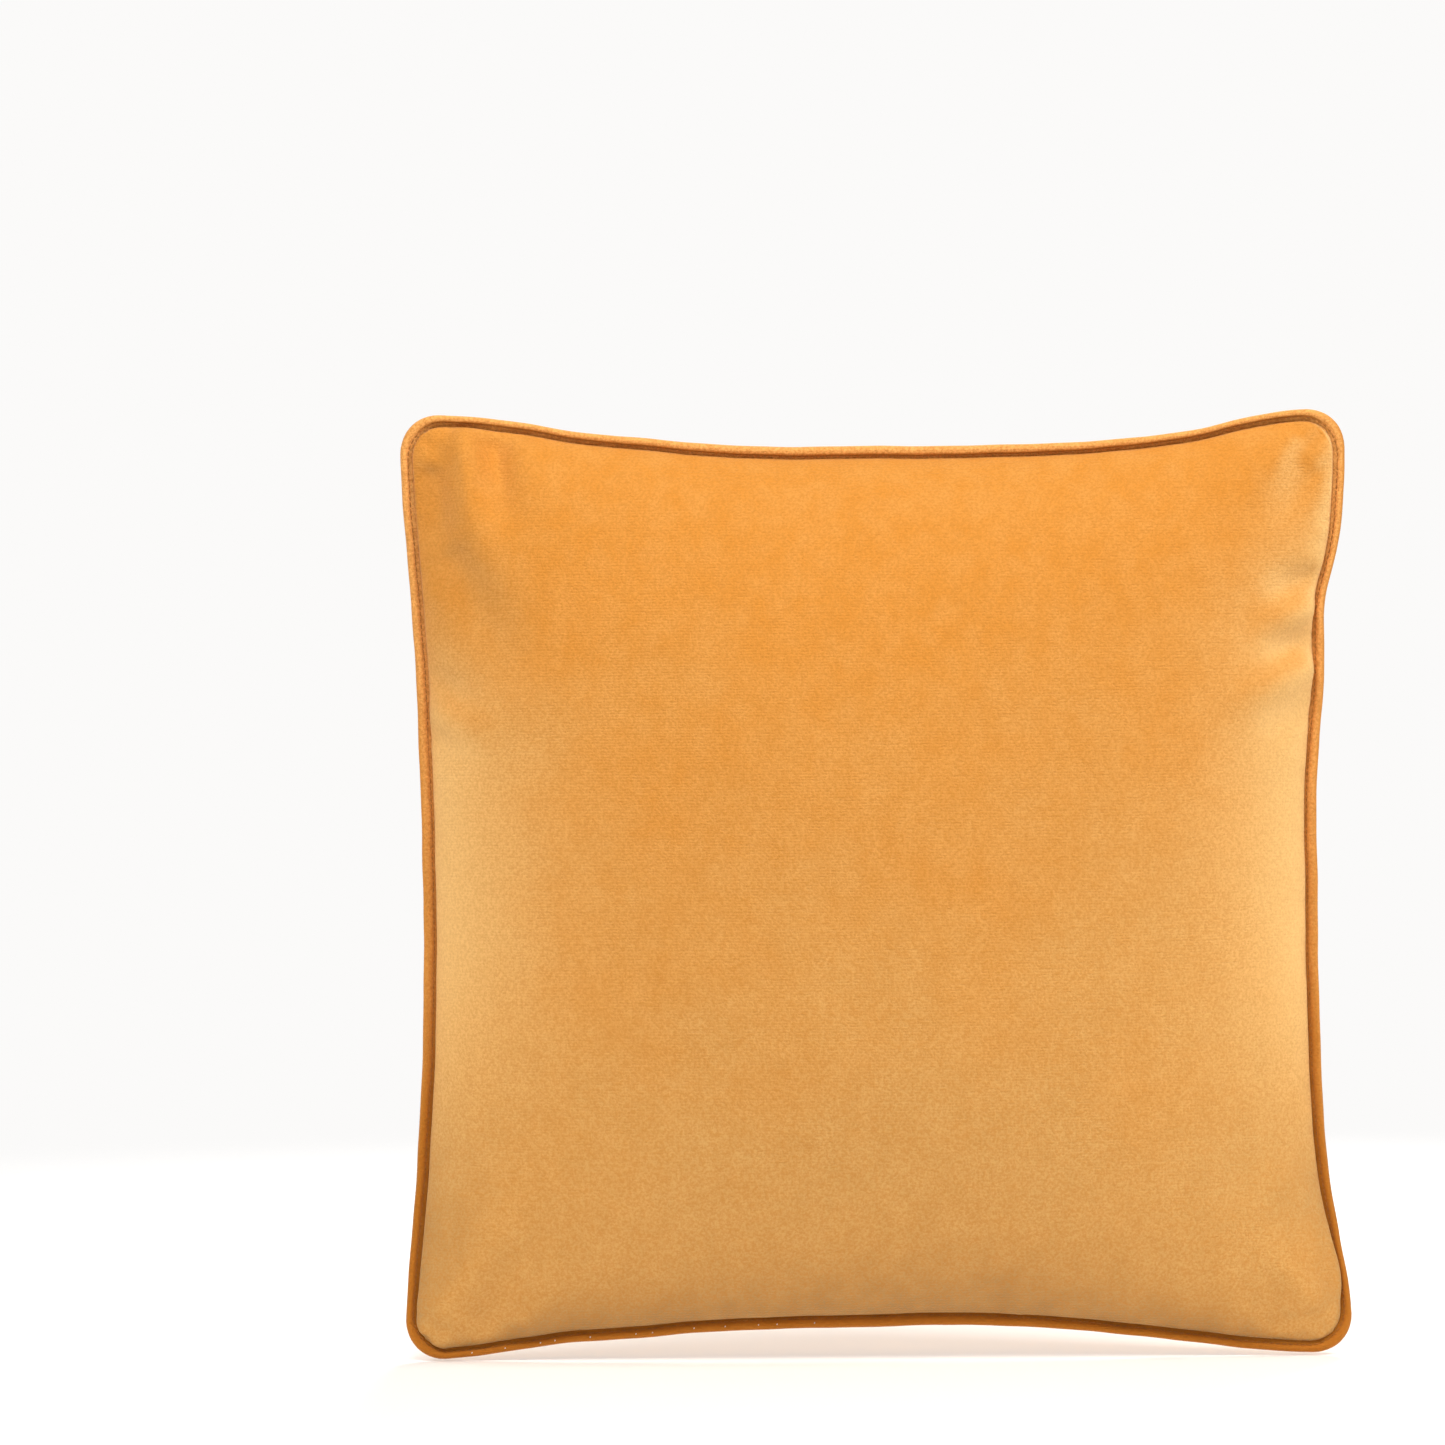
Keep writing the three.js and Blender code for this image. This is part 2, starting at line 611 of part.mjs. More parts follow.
for (const [side, mirror] of [["front", false], ["back", true]]) {
  add("zip_tape_" + side, zipTape(mirror), tape);
  add("zip_coil_" + side, zipCoil(mirror), coil);
  add("zip_stitch_" + side, zipStitch(mirror), thread);
  const y = mirror ? onSlit(COIL_Y) : COIL_Y;
  add("zip_top_stop_" + side, zipStop(1, y - COIL_RADIUS, y + COIL_RADIUS), metal);
}
const channelLow = COIL_Y - COIL_RADIUS;
add("zip_bottom_stop", zipStop(-1, channelLow, onSlit(channelLow)), metal);

// The slider rides on the lower edge's arc, so its group turns about that arc's centre, below the pillow.
const track = new THREE.Group();
track.position.set(0, 0, MIDDLE_Z - LOWER.reach);
track.rotation.y = (COIL_HALF - SLIDER_LENGTH / 2) / LOWER.radius;
const carriage = new THREE.Group();
carriage.position.z = LOWER.radius;
track.add(carriage);
pillow.add(track);
add("zip_slider", zipSlider(), metal, carriage);
add("zip_pull", zipPull(), metal, carriage);

export default pillow;
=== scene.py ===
import json
import math

import bpy
import numpy as np
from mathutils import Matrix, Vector, noise


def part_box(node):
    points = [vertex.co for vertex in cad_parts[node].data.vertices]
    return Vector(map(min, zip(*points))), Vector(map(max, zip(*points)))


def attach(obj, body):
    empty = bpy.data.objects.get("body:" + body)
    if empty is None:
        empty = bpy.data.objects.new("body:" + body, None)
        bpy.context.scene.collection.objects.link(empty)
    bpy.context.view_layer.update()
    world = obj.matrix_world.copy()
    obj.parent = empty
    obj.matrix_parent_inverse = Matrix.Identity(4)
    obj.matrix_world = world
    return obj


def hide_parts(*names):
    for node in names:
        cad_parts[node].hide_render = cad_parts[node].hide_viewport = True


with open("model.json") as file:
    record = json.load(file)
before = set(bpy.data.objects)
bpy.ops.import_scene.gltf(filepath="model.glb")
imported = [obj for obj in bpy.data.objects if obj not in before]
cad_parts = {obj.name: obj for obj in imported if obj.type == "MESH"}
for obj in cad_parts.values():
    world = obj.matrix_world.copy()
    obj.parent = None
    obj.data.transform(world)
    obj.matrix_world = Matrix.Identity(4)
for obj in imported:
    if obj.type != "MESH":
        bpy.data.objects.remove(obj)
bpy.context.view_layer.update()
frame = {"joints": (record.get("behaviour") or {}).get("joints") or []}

# A square velvet pillow that stands on its lower edge. X is its width, Y its thickness, with the front facing
# -Y, and Z is up. Lengths are metres. A cross-section of the edge is given by the inset from the piping's
# centre line towards the middle of the pillow, and by the height in Y from the seam's plane.

MM = 0.001

# ---- Sizes, from the frame ----

EDGE_LOW, EDGE_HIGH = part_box("piping_cover")
PIPING_RADIUS = (EDGE_HIGH.y - EDGE_LOW.y) / 2
CORD_RADIUS = (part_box("piping_cord")[1].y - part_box("piping_cord")[0].y) / 2
HALF = (EDGE_HIGH.x - EDGE_LOW.x) / 2 - PIPING_RADIUS
MIDDLE_Z = (EDGE_LOW.z + EDGE_HIGH.z) / 2
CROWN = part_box("back_panel")[1].y
CORNER_RADIUS = 19 * MM
SEAM_INSET = 2.9 * MM
SEAM_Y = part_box("back_panel")[0].y
FOLD_INSET = 5.5 * MM
ALLOWANCE_INSET = 12 * MM
VELVET_THICKNESS = 1 * MM
STRIP_THICKNESS = 0.6 * MM
TICKING_THICKNESS = 0.5 * MM
GAP = 0.3 * MM

# How far the filling pulls each edge in, in millimetres, at places along it from -1 at one corner to 1 at the
# other. The right edge has a kink above its middle, where the seam was eased.
EDGE_BOW = {
    "left": [
        (-0.9, 0), (-0.77, 2.4), (-0.6, 5.8), (-0.3, 9.6), (-0.08, 10.3), (0.2, 9.2), (0.59, 5.2), (0.78, 1.6),
        (0.92, 0),
    ],
    "right": [
        (-0.9, 0), (-0.75, 5.4), (-0.6, 11), (-0.4, 13.8), (0, 15.4), (0.24, 15), (0.42, 11.3), (0.61, 9.8),
        (0.7, 4.4), (0.84, 0.8), (0.95, 0),
    ],
    "upper": [
        (-0.95, 0), (-0.88, 1), (-0.75, 4.2), (-0.61, 9.8), (-0.47, 12.8), (-0.32, 16.2), (0, 17.4),
        (0.35, 16.6), (0.54, 14.2), (0.69, 9.7), (0.82, 3.2), (0.9, 0.6), (0.96, 0),
    ],
    "lower": [
        (-0.92, 0), (-0.8, 3.2), (-0.65, 7.7), (-0.5, 10), (-0.35, 12.8), (-0.1, 14.4), (0.28, 14.6),
        (0.42, 12.2), (0.55, 9.2), (0.68, 5.4), (0.82, 1.8), (0.93, 0.2),
    ],
}

# The zip lies in the lower seam; its slit opens between the piping and the back panel's lip.
ZIP_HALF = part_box("zip_tape_back")[1].x
ZIP_FADE = 24 * MM
LIP_INSET = 2.6 * MM
LIP_Y = 4.8 * MM
LIP_FOLD = 3.4 * MM
HEM_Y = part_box("zip_tape_back")[1].y + 2 * GAP

CELLS = 100
GRID_POINTS = (CELLS + 1) ** 2


def smooth(x):
    """0 below 0 and 1 above 1, with a soft turn at both ends."""
    x = np.clip(x, 0, 1)
    return x * x * (3 - 2 * x)


# ---- Camera, floor and light ----


def make_camera():
    data = bpy.data.cameras.new("camera")
    data.lens = 135
    data.dof.use_dof = False
    camera = bpy.data.objects.new("camera", data)
    bpy.context.scene.collection.objects.link(camera)
    # Straight on to the front, from a little above and to the left of the pillow's middle, and rolled a trace.
    camera.location = (-0.0733, -2.612, MIDDLE_Z + 0.0782)
    camera.rotation_euler = (math.pi / 2, math.radians(0.4), 0)
    bpy.context.scene.camera = camera


def area_light(name, place, size, watts, colour):
    data = bpy.data.lights.new(name, "AREA")
    data.shape = "DISK"
    data.size = size
    data.energy = watts
    data.color = colour
    light = bpy.data.objects.new(name, data)
    bpy.context.scene.collection.objects.link(light)
    light.location = place
    aim = Vector((0, 0, MIDDLE_Z)) - Vector(place)
    light.rotation_euler = aim.to_track_quat("-Z", "Y").to_euler()


def linear(hex_colour):
    """An sRGB hex colour as linear RGBA."""
    parts = [int(hex_colour[k : k + 2], 16) / 255 for k in (1, 3, 5)]
    return (*[c / 12.92 if c <= 0.04045 else ((c + 0.055) / 1.055) ** 2.4 for c in parts], 1.0)


def add_node(tree, kind, links=None, **settings):
    """A node with its settings; links gives each input socket a value or another node's output."""
    made = tree.nodes.new(kind)
    for name, value in settings.items():
        setattr(made, name, value)
    for socket, source in (links or {}).items():
        if isinstance(source, bpy.types.NodeSocket):
            tree.links.new(source, made.inputs[socket])
        else:
            made.inputs[socket].default_value = source
    return made


def sum_of(tree, operation, *values):
    """The result of a sum on shader values, each a number or another node's output."""
    return add_node(tree, "ShaderNodeMath", dict(enumerate(values)), operation=operation).outputs[0]


def ramp(tree, value, start, end, low=0.0, high=1.0, kind="SMOOTHSTEP"):
    """Goes from low to high while a value goes from start to end, and stays there beyond them."""
    links = {0: value, 1: start, 2: end, 3: low, 4: high}
    return add_node(tree, "ShaderNodeMapRange", links, interpolation_type=kind).outputs[0]


def mix_colour(tree, factor, first, second):
    return add_node(tree, "ShaderNodeMix", {0: factor, 6: first, 7: second}, data_type="RGBA").outputs[2]


def new_material(name):
    """An empty node material: the material, its tree and the object coordinates, in metres."""
    made = bpy.data.materials.new(name)
    made.use_nodes = True
    made.node_tree.nodes.clear()
    coords = add_node(made.node_tree, "ShaderNodeTexCoord")
    return made, made.node_tree, coords.outputs["Object"]


# The paper floor is whole near the pillow and fades away between these distances from its middle.
PAPER_WHOLE = 0.45
PAPER_GONE = 1.5
PAPER_RADIUS = 6


def make_stage():
    bpy.ops.object.select_all(action="DESELECT")
    bpy.ops.mesh.primitive_circle_add(vertices=96, radius=PAPER_RADIUS, fill_type="TRIFAN")
    floor = bpy.context.object
    floor.name = "floor"
    material, tree, place = new_material("matt_paper_sweep")
    distance = add_node(tree, "ShaderNodeVectorMath", {0: place}, operation="LENGTH")
    fade = ramp(tree, distance.outputs["Value"], PAPER_WHOLE, PAPER_GONE)
    paper = add_node(tree, "ShaderNodeBsdfDiffuse", {"Color": linear("#fbfaf8")})
    clear = add_node(tree, "ShaderNodeBsdfTransparent")
    mix = add_node(tree, "ShaderNodeMixShader", {0: fade, 1: paper.outputs[0], 2: clear.outputs[0]})
    add_node(tree, "ShaderNodeOutputMaterial", {"Surface": mix.outputs[0]})
    floor.data.materials.append(material)

    world = bpy.data.worlds.new("studio")
    bpy.context.scene.world = world
    world.use_nodes = True
    tree = world.node_tree
    tree.nodes.clear()
    path = add_node(tree, "ShaderNodeLightPath")
    room = add_node(tree, "ShaderNodeBackground", {"Color": linear("#ffffff"), "Strength": 0.19})
    seen = add_node(tree, "ShaderNodeBackground", {"Color": linear("#fbfaf9"), "Strength": 1.0})
    mix = add_node(
        tree,
        "ShaderNodeMixShader",
        {0: path.outputs["Is Camera Ray"], 1: room.outputs[0], 2: seen.outputs[0]},
    )
    add_node(tree, "ShaderNodeOutputWorld", {"Surface": mix.outputs[0]})

    area_light("key", (-0.4, -1.4, 1.95), 0.9, 23.5, (1.0, 0.99, 0.97))
    area_light("front_fill", (0.2, -2.8, 0.7), 1.8, 8, (1.0, 0.99, 0.98))
    area_light("left_fill", (-1.4, -0.8, 1.7), 0.9, 11, (1.0, 0.99, 0.98))
    area_light("right_fill", (1.3, -0.7, 1.9), 0.9, 28, (1.0, 0.99, 0.98))
    area_light("back_fill", (0.5, 2.0, 1.6), 1.2, 60, (1.0, 0.99, 0.98))
    bpy.context.scene.view_settings.view_transform = "Standard"


# ---- Plan of the pillow: a square with round corners whose edges bow in ----


def bow(name, along):
    """How far an edge curves in at a place along it, from -1 to 1: a smooth curve through the edge's points."""
    at, depth = np.array([(-1.1, 0), *EDGE_BOW[name], (1.1, 0)], float).T
    slope = np.gradient(depth, at)
    k = np.clip(np.searchsorted(at, along) - 1, 0, len(at) - 2)
    span = at[k + 1] - at[k]
    t = (along - at[k]) / span
    rise = (depth[k + 1] - depth[k]) * t * t * (3 - 2 * t)
    curve = depth[k] + rise + span * t * (1 - t) * ((1 - t) * slope[k] - t * slope[k + 1])
    # A slight waver of the seam, different on the sides and on the ends.
    phase = len(name)
    waver = np.sin(along * 23 + phase) + 0.6 * np.sin(along * 51 + 2 * phase)
    return MM * (curve + 0.12 * waver * smooth((1 - np.abs(along)) / 0.15))


def bowed(x, z):
    """Moves points of the plain square, in metres from its middle, to where the bowed edges put them."""
    across, up = np.clip(x / HALF, -1, 1), np.clip(z / HALF, -1, 1)
    side = np.where(x > 0, bow("right", up), bow("left", up))
    end = np.where(z > 0, bow("upper", across), bow("lower", across))
    return x * (1 - side / HALF), z * (1 - end / HALF)


def plan(u, v, inset):
    """The place in the seam's plane of a point of the unit square, whose edge lies at an inset."""
    size = HALF - inset
    radius = np.maximum(CORNER_RADIUS - inset, 1e-5)
    x, z = np.abs(u) * size, np.abs(v) * size
    past_x, past_z = x - (size - radius), z - (size - radius)
    corner = (past_x > 0) & (past_z > 0)
    pull = np.maximum(past_x, past_z) / (np.hypot(past_x, past_z) + 1e-12)
    x = np.where(corner, size - radius + past_x * pull, x)
    z = np.where(corner, size - radius + past_z * pull, z)
    return bowed(x * np.sign(u), z * np.sign(v))


def at_plan(u, v, inset, y):
    x, z = plan(u, v, inset)
    return np.stack([x, np.broadcast_to(y, np.shape(x)), z + MIDDLE_Z], axis=-1)


def unit_lines():
    """Grid lines from -1 to 1, closer together near the seams."""
    even = np.linspace(-1, 1, CELLS + 1)
    return even * (1 + 0.3 * (1 - np.abs(even)))


U, V = np.meshgrid(unit_lines(), unit_lines(), indexing="ij")


def edge_loop(margin=0):
    """Grid indices round the edge, or inside a margin of lines, from the lower left corner of the front."""
    low, high = margin, CELLS - margin
    loop = [(i, low) for i in range(low, high)] + [(high, j) for j in range(low, high)]
    loop += [(i, high) for i in range(high, low, -1)] + [(low, j) for j in range(high, low, -1)]
    return np.array(loop)


LOOP = edge_loop()


def ring_at(loop, inset, y):
    """The ring at an inset, with a point for each line that ends in the loop."""
    u, v = U[loop[:, 0], loop[:, 1]], V[loop[:, 0], loop[:, 1]]
    size = np.maximum(np.abs(u), np.abs(v))
    return at_plan(u / size, v / size, inset, y)


def zip_share():
    """1 where a point of the edge lies in the lower seam's zip, and 0 away from it."""
    points = ring_at(LOOP, SEAM_INSET, 0)
    low = (LOOP[:, 1] == 0).astype(float)
    return low * smooth((ZIP_HALF + ZIP_FADE - np.abs(points[:, 0])) / ZIP_FADE)


# ---- Cloth ----


def zip_lift():
    """The share of the lip's height that reaches each point of the back panel, fading upwards."""
    x = plan(U, V, SEAM_INSET)[0]
    along = smooth((ZIP_HALF + ZIP_FADE - np.abs(x)) / ZIP_FADE)
    return along * smooth((-V - 0.2) / 0.8)


# The dome's shape: how flat its middle is, how steeply it leaves the seam, and its share of the crown.
DOME_FLATNESS = 2.3
DOME_STEEPNESS = 0.62
DOME_SHARE = 0.9


def dome(facing):
    """The panel before it is filled: a grid of points on a low dome."""
    rise = ((1 - np.abs(U) ** DOME_FLATNESS) * (1 - np.abs(V) ** DOME_FLATNESS)) ** DOME_STEEPNESS
    y = SEAM_Y + DOME_SHARE * (CROWN - SEAM_Y) * rise
    points = at_plan(U, V, SEAM_INSET, facing * y)
    edge = ring_at(LOOP, SEAM_INSET, facing * SEAM_Y)
    if facing > 0:
        share = zip_share()[:, None]
        edge = edge * (1 - share) + ring_at(LOOP, LIP_INSET, LIP_Y) * share
        points[:, :, 1] += (LIP_Y - SEAM_Y) * zip_lift()
    points[LOOP[:, 0], LOOP[:, 1]] = edge
    return points


# Places with cloth to spare, which gathers into folds: across, up, reach, and share of the cloth's length.
FULLNESS = [
    (-0.86, 0.86, 0.16, 0.050),
    (0.97, 0.52, 0.14, 0.045),
    (-0.96, 0.36, 0.12, 0.030),
    (0.90, -0.90, 0.16, 0.030),
    (-0.90, -0.90, 0.14, 0.030),
    (0.88, 0.90, 0.14, 0.030),
]
SPARE = 0.012
EDGE_SPARE = 0.010
MOST_SPARE = 0.07


def fullness():
    """The share of spare length at each grid point, as a weight from 0 to 1."""
    edge = np.maximum(np.abs(U), np.abs(V))
    spare = SPARE + EDGE_SPARE * smooth((edge - 0.8) / 0.2)
    for across, up, reach, share in FULLNESS:
        spare = spare + share * np.exp(-((U - across) ** 2 + (V - up) ** 2) / reach**2)
    return np.clip(spare / MOST_SPARE, 0, 1)


def grid_faces(start=0, flip=False, margin=0):
    """The quads of a grid whose points were added from a start index, inside a margin of lines."""
    n = CELLS + 1
    lines = np.arange(margin, CELLS - margin)
    i, j = np.meshgrid(lines, lines, indexing="ij")
    a = (start + i * n + j).ravel()
    quads = np.stack([a, a + n, a + n + 1, a + 1], axis=1)
    return (quads[:, ::-1] if flip else quads).tolist()


def strip_faces(first, second):
    """Quads between two closed rings of indices."""
    after = np.roll(np.arange(len(first)), -1)
    return [(first[k], first[after[k]], second[after[k]], second[k]) for k in range(len(first))]


def add_object(name, mesh):
    """A new object for a mesh, selected and active."""
    made = bpy.data.objects.new(name, mesh)
    bpy.context.scene.collection.objects.link(made)
    bpy.ops.object.select_all(action="DESELECT")
    made.select_set(True)
    bpy.context.view_layer.objects.active = made
    return made


def mesh_object(name, points, faces):
    mesh = bpy.data.meshes.new(name)
    mesh.from_pydata(np.asarray(points).tolist(), [], [tuple(int(k) for k in face) for face in faces])
    return add_object(name, mesh)


def read_points(o):
    points = np.zeros(len(o.data.vertices) * 3)
    o.data.vertices.foreach_get("co", points)
    return points.reshape(-1, 3)


def write_points(o, points):
    o.data.vertices.foreach_set("co", np.ascontiguousarray(points).ravel())
    o.data.update()


def turn_faces_out():
    bpy.ops.object.mode_set(mode="EDIT")
    bpy.ops.mesh.select_all(action="SELECT")
    bpy.ops.mesh.normals_make_consistent(inside=False)
    bpy.ops.object.mode_set(mode="OBJECT")


def edge_indices(start=0, loop=LOOP):
    return start + loop[:, 0] * (CELLS + 1) + loop[:, 1]


MOST_MOVE = 26 * MM
FILL_STEPS = 28


def fill_cover():
    """Inflates the two panels, which are held all round at the seam, and returns their grids of points."""
    front, back = dome(-1), dome(1)
    start = np.concatenate([front.reshape(-1, 3), back.reshape(-1, 3)])
    faces = grid_faces() + grid_faces(GRID_POINTS, flip=True)
    faces += strip_faces(edge_indices(GRID_POINTS), edge_indices())
    cloth = mesh_object("cover_cloth", start, faces)
    turn_faces_out()
    held = cloth.vertex_groups.new(name="sewn")
    held.add([int(k) for k in (*edge_indices(), *edge_indices(GRID_POINTS))], 1, "REPLACE")
    loose = cloth.vertex_groups.new(name="fullness")
    for k, weight in enumerate(np.tile(fullness().ravel(), 2)):
        loose.add([k], float(weight), "REPLACE")
    modifier = cloth.modifiers.new("fill", "CLOTH")
    settings = modifier.settings
    settings.quality = 6
    settings.mass = 0.3
    settings.tension_stiffness = 30
    settings.compression_stiffness = 30
    settings.shear_stiffness = 8
    settings.bending_stiffness = 0.6
    settings.tension_damping = 10
    settings.compression_damping = 10
    settings.air_damping = 4
    settings.vertex_group_mass = "sewn"
    settings.vertex_group_shrink = "fullness"
    settings.shrink_min = 0
    settings.shrink_max = -MOST_SPARE
    settings.use_pressure = True
    settings.uniform_pressure_force = 6
    settings.effector_weights.gravity = 0
    modifier.collision_settings.use_collision = False
    modifier.collision_settings.use_self_collision = False
    scene = bpy.context.scene
    scene.frame_start, scene.frame_end = 1, FILL_STEPS
    modifier.point_cache.frame_start, modifier.point_cache.frame_end = 1, FILL_STEPS
    for step in range(1, FILL_STEPS + 1):
        scene.frame_set(step)
    bpy.ops.object.modifier_apply(modifier=modifier.name)
    move = read_points(cloth) - start
    bpy.data.objects.remove(cloth)
    scene.frame_set(1)
    length = np.linalg.norm(move, axis=1, keepdims=True)
    points = start + move * np.minimum(1, MOST_MOVE / (length + 1e-9))
    shape = (CELLS + 1, CELLS + 1, 3)
    return points[:GRID_POINTS].reshape(shape), points[GRID_POINTS:].reshape(shape)


SWELL_SIZE = 85 * MM
SWELL_HEIGHT = 1.8 * MM


def grid_noise(points, size, layer):
    """Soft noise at each point of a grid, with lumps of a size; each layer has its own."""
    return np.array([[noise.noise((x / size, layer, z / size)) for x, _, z in row] for row in points])


def settle(points, facing):
    """The soft unevenness of a filled pillow: swells and hollows a hand's breadth across."""
    swell = grid_noise(points, SWELL_SIZE, facing * 2.7)
    inside = smooth((1 - np.maximum(np.abs(U), np.abs(V))) / 0.3)
    return points + grid_normals(points, facing) * (SWELL_HEIGHT * swell * inside)[:, :, None]


def grid_normals(points, facing):
    normal = np.cross(np.gradient(points, axis=1), np.gradient(points, axis=0)) * facing
    return normal / (np.linalg.norm(normal, axis=2, keepdims=True) + 1e-12)


# Folds and hollows that run in from the seams: where they start and end, in millimetres from the middle of the
# pillow, the width of the fold, and its height (negative for a hollow).
FRONT_FOLDS = [
    ((-212, 200), (-208, 140), 6.0, -4.4),
    ((-197, 219), (-186, 140), 7.0, 6.0),
    ((-183, 215), (-178, 168), 6.0, -5.0),
    ((-203, 160), (-172, 100), 9.0, -4.0),
    ((-166, 212), (-170, 180), 7.0, 1.6),
    ((211, 146), (186, 140), 5.0, -3.6),
    ((211, 132), (180, 122), 5.5, 4.4),
    ((211, 118), (184, 108), 4.5, -4.4),
    ((210, 104), (166, 82), 6.5, 4.2),
    ((212, 88), (182, 70), 6.0, -2.6),
    ((-214, 100), (-190, 88), 5.5, -3.2),
    ((-214, 86), (-184, 71), 6.0, 3.4),
    ((-214, 72), (-190, 60), 5.5, -2.0),
    ((198, 214), (180, 180), 7.0, 2.4),
    ((210, 198), (190, 168), 6.5, -2.2),
    ((194, -214), (176, -178), 6.0, -2.6),
    ((206, -204), (182, -170), 6.0, 2.4),
    ((-208, -204), (-166, -128), 10.0, 2.6),
    ((-192, -210), (-148, -150), 9.0, -2.4),
    ((-170, -212), (-150, -180), 8.0, 1.8),
    ((204, -150), (176, -138), 7.0, 1.8),
    ((60, -208), (52, -188), 7.0, -1.4),
    ((-80, 208), (-86, 190), 8.0, -1.2),
]
BACK_FOLDS = [
    ((-206, 214), (-186, 172), 5.0, 2.4),
    ((-212, 200), (-196, 158), 4.5, -2.0),
    ((207, 214), (190, 176), 5.0, -1.8),
    ((213, 60), (184, 48), 5.0, 1.3),
    ((213, 46), (190, 36), 4.0, -1.2),
    ((-214, -90), (-190, -80), 4.5, 1.2),
    ((204, -208), (182, -176), 5.0, 1.6),
]


def add_folds(points, folds, facing):
    """Raises folds along the cloth's own normal."""
    normals = grid_normals(points, facing)
    x, z = points[:, :, 0] / MM, (points[:, :, 2] - MIDDLE_Z) / MM
    height = np.zeros(x.shape)
    for (x0, z0), (x1, z1), width, rise in folds:
        length = math.hypot(x1 - x0, z1 - z0)
        along_x, along_z = (x1 - x0) / length, (z1 - z0) / length
        along = (x - x0) * along_x + (z - z0) * along_z
        aside = (x - x0) * along_z - (z - z0) * along_x
        spread = width * (1 + 0.8 * np.clip(along / length, 0, 1))
        fade = smooth((along + 4) / 5) * (1 - smooth((along - 0.25 * length) / (0.9 * length)))
        height += rise * fade * np.exp(-((aside / spread) ** 2))
    inside = smooth((1 - np.maximum(np.abs(U), np.abs(V))) / 0.02)
    return points + normals * (height * inside * MM)[:, :, None]


# Where the stuffed front hangs over the piping: its place, direction, reach and distance, in millimetres.
OVERHANGS = [
    ((-220, -219), (-0.75, -0.62), 25, 8.5),
    ((220, -188), (1.0, -0.1), 30, 6.0),
    ((-60, -212), (0.0, -1.0), 40, 0.8),
    ((215, 150), (1.0, 0.2), 16, 1.6),
]


def hang_over(points):
    x, z = points[:, :, 0] / MM, (points[:, :, 2] - MIDDLE_Z) / MM
    height = np.abs(points[:, :, 1]) / MM
    bulge = smooth((height - 1) / 4) * (1 - smooth((height - 9) / 28))
    moved = points.copy()
    for (at_x, at_z), (across, up), reach, distance in OVERHANGS:
        near = np.exp(-(((x - at_x) ** 2 + (z - at_z) ** 2) / reach**2)) * bulge * distance * MM
        moved[:, :, 0] += across * near
        moved[:, :, 2] += up * near
    return moved


def finish_cloth(o, thickness, levels=1):
    """Smooths a cloth shell and gathers it at the seam, where levels isn't 0, and thickens it inwards."""
    if levels:
        finer = o.modifiers.new("finer", "SUBSURF")
        finer.levels = finer.render_levels = levels
        bpy.ops.object.modifier_apply(modifier=finer.name)
        pucker(o)
    wall = o.modifiers.new("thickness", "SOLIDIFY")
    wall.thickness = thickness
    wall.offset = -1
    bpy.ops.object.modifier_apply(modifier=wall.name)
    bpy.ops.object.shade_smooth()


def edge_distance(x, z):
    """Distance in from the piping's centre line, and the place along the nearest side.

    Each side's places have a shift of their own, so that no two sides gather alike.
    """
    across, up = np.clip(x / HALF, -1, 1), np.clip(z / HALF, -1, 1)
    sides = np.stack(
        [
            HALF - bow("right", up) - x,
            HALF - bow("left", up) + x,
            HALF - bow("upper", across) - z,
            HALF - bow("lower", across) + z,
        ]
    )
    along = np.stack([z, z + 7, x + 13, x + 29])
    nearest = np.argmin(sides, axis=0)
    pick = np.arange(len(x))
    return sides[nearest, pick], along[nearest, pick]


GATHER_SIZE = 9 * MM
GATHER_HEIGHT = 0.75 * MM
GATHER_REACH = 11 * MM


def pucker(o):
    """Small gathers, 9 to 15 mm apart, where the cloth is eased into the seam."""
    points = read_points(o)
    normals = np.zeros(len(o.data.vertices) * 3)
    o.data.vertices.foreach_get("normal", normals)
    normals = normals.reshape(-1, 3)
    inset, along = edge_distance(points[:, 0], points[:, 2] - MIDDLE_Z)
    turns = along / GATHER_SIZE
    wave = np.array([noise.noise((t, 0, 4.5)) + 0.6 * noise.noise((2 * t, 9, 1)) for t in turns])
    fade = smooth((inset - SEAM_INSET) / (1.6 * MM)) * (1 - smooth((inset - 4 * MM) / GATHER_REACH))
    outside = ((np.abs(points[:, 1]) > 1.6 * MM) & (points[:, 1] * normals[:, 1] > 0)).astype(float)
    height = GATHER_HEIGHT * wave * fade * outside
    write_points(o, points + normals * height[:, None])


def cover_panel(name, points, facing):
    """A panel from its grid, with the seam allowance turned in all round."""
    if facing < 0:
        rims = [ring_at(LOOP, inset, facing * SEAM_Y) for inset in (FOLD_INSET, ALLOWANCE_INSET)]
    else:
        share = zip_share()[:, None]
        fold = ring_at(LOOP, FOLD_INSET, SEAM_Y) * (1 - share) + ring_at(LOOP, LIP_FOLD, HEM_Y) * share
        end = ring_at(LOOP, ALLOWANCE_INSET, SEAM_Y) * (1 - share)
        rims = [fold, end + ring_at(LOOP, ALLOWANCE_INSET, HEM_Y) * share]
    faces = grid_faces(flip=facing > 0)
    ring = edge_indices()
    for k, rim in enumerate(rims):
        inner = np.arange(len(rim)) + GRID_POINTS + k * len(rim)
        quads = strip_faces(inner, ring)
        faces += quads if facing < 0 else [quad[::-1] for quad in quads]
        ring = inner
    made = mesh_object(name, np.concatenate([points.reshape(-1, 3), *rims]), faces)
    finish_cloth(made, VELVET_THICKNESS)
    return made


# ---- Sewn edge: piping, cord and thread ----

# Each kind of stitch is given by its length and the thread's radius.
SEAM_STITCH = (2.3 * MM, 0.22 * MM)
SEAM_PITCH = 3.1 * MM
BASTING_STITCH = (0.9 * MM, 0.3 * MM)
CORD_LAY = 9 * MM


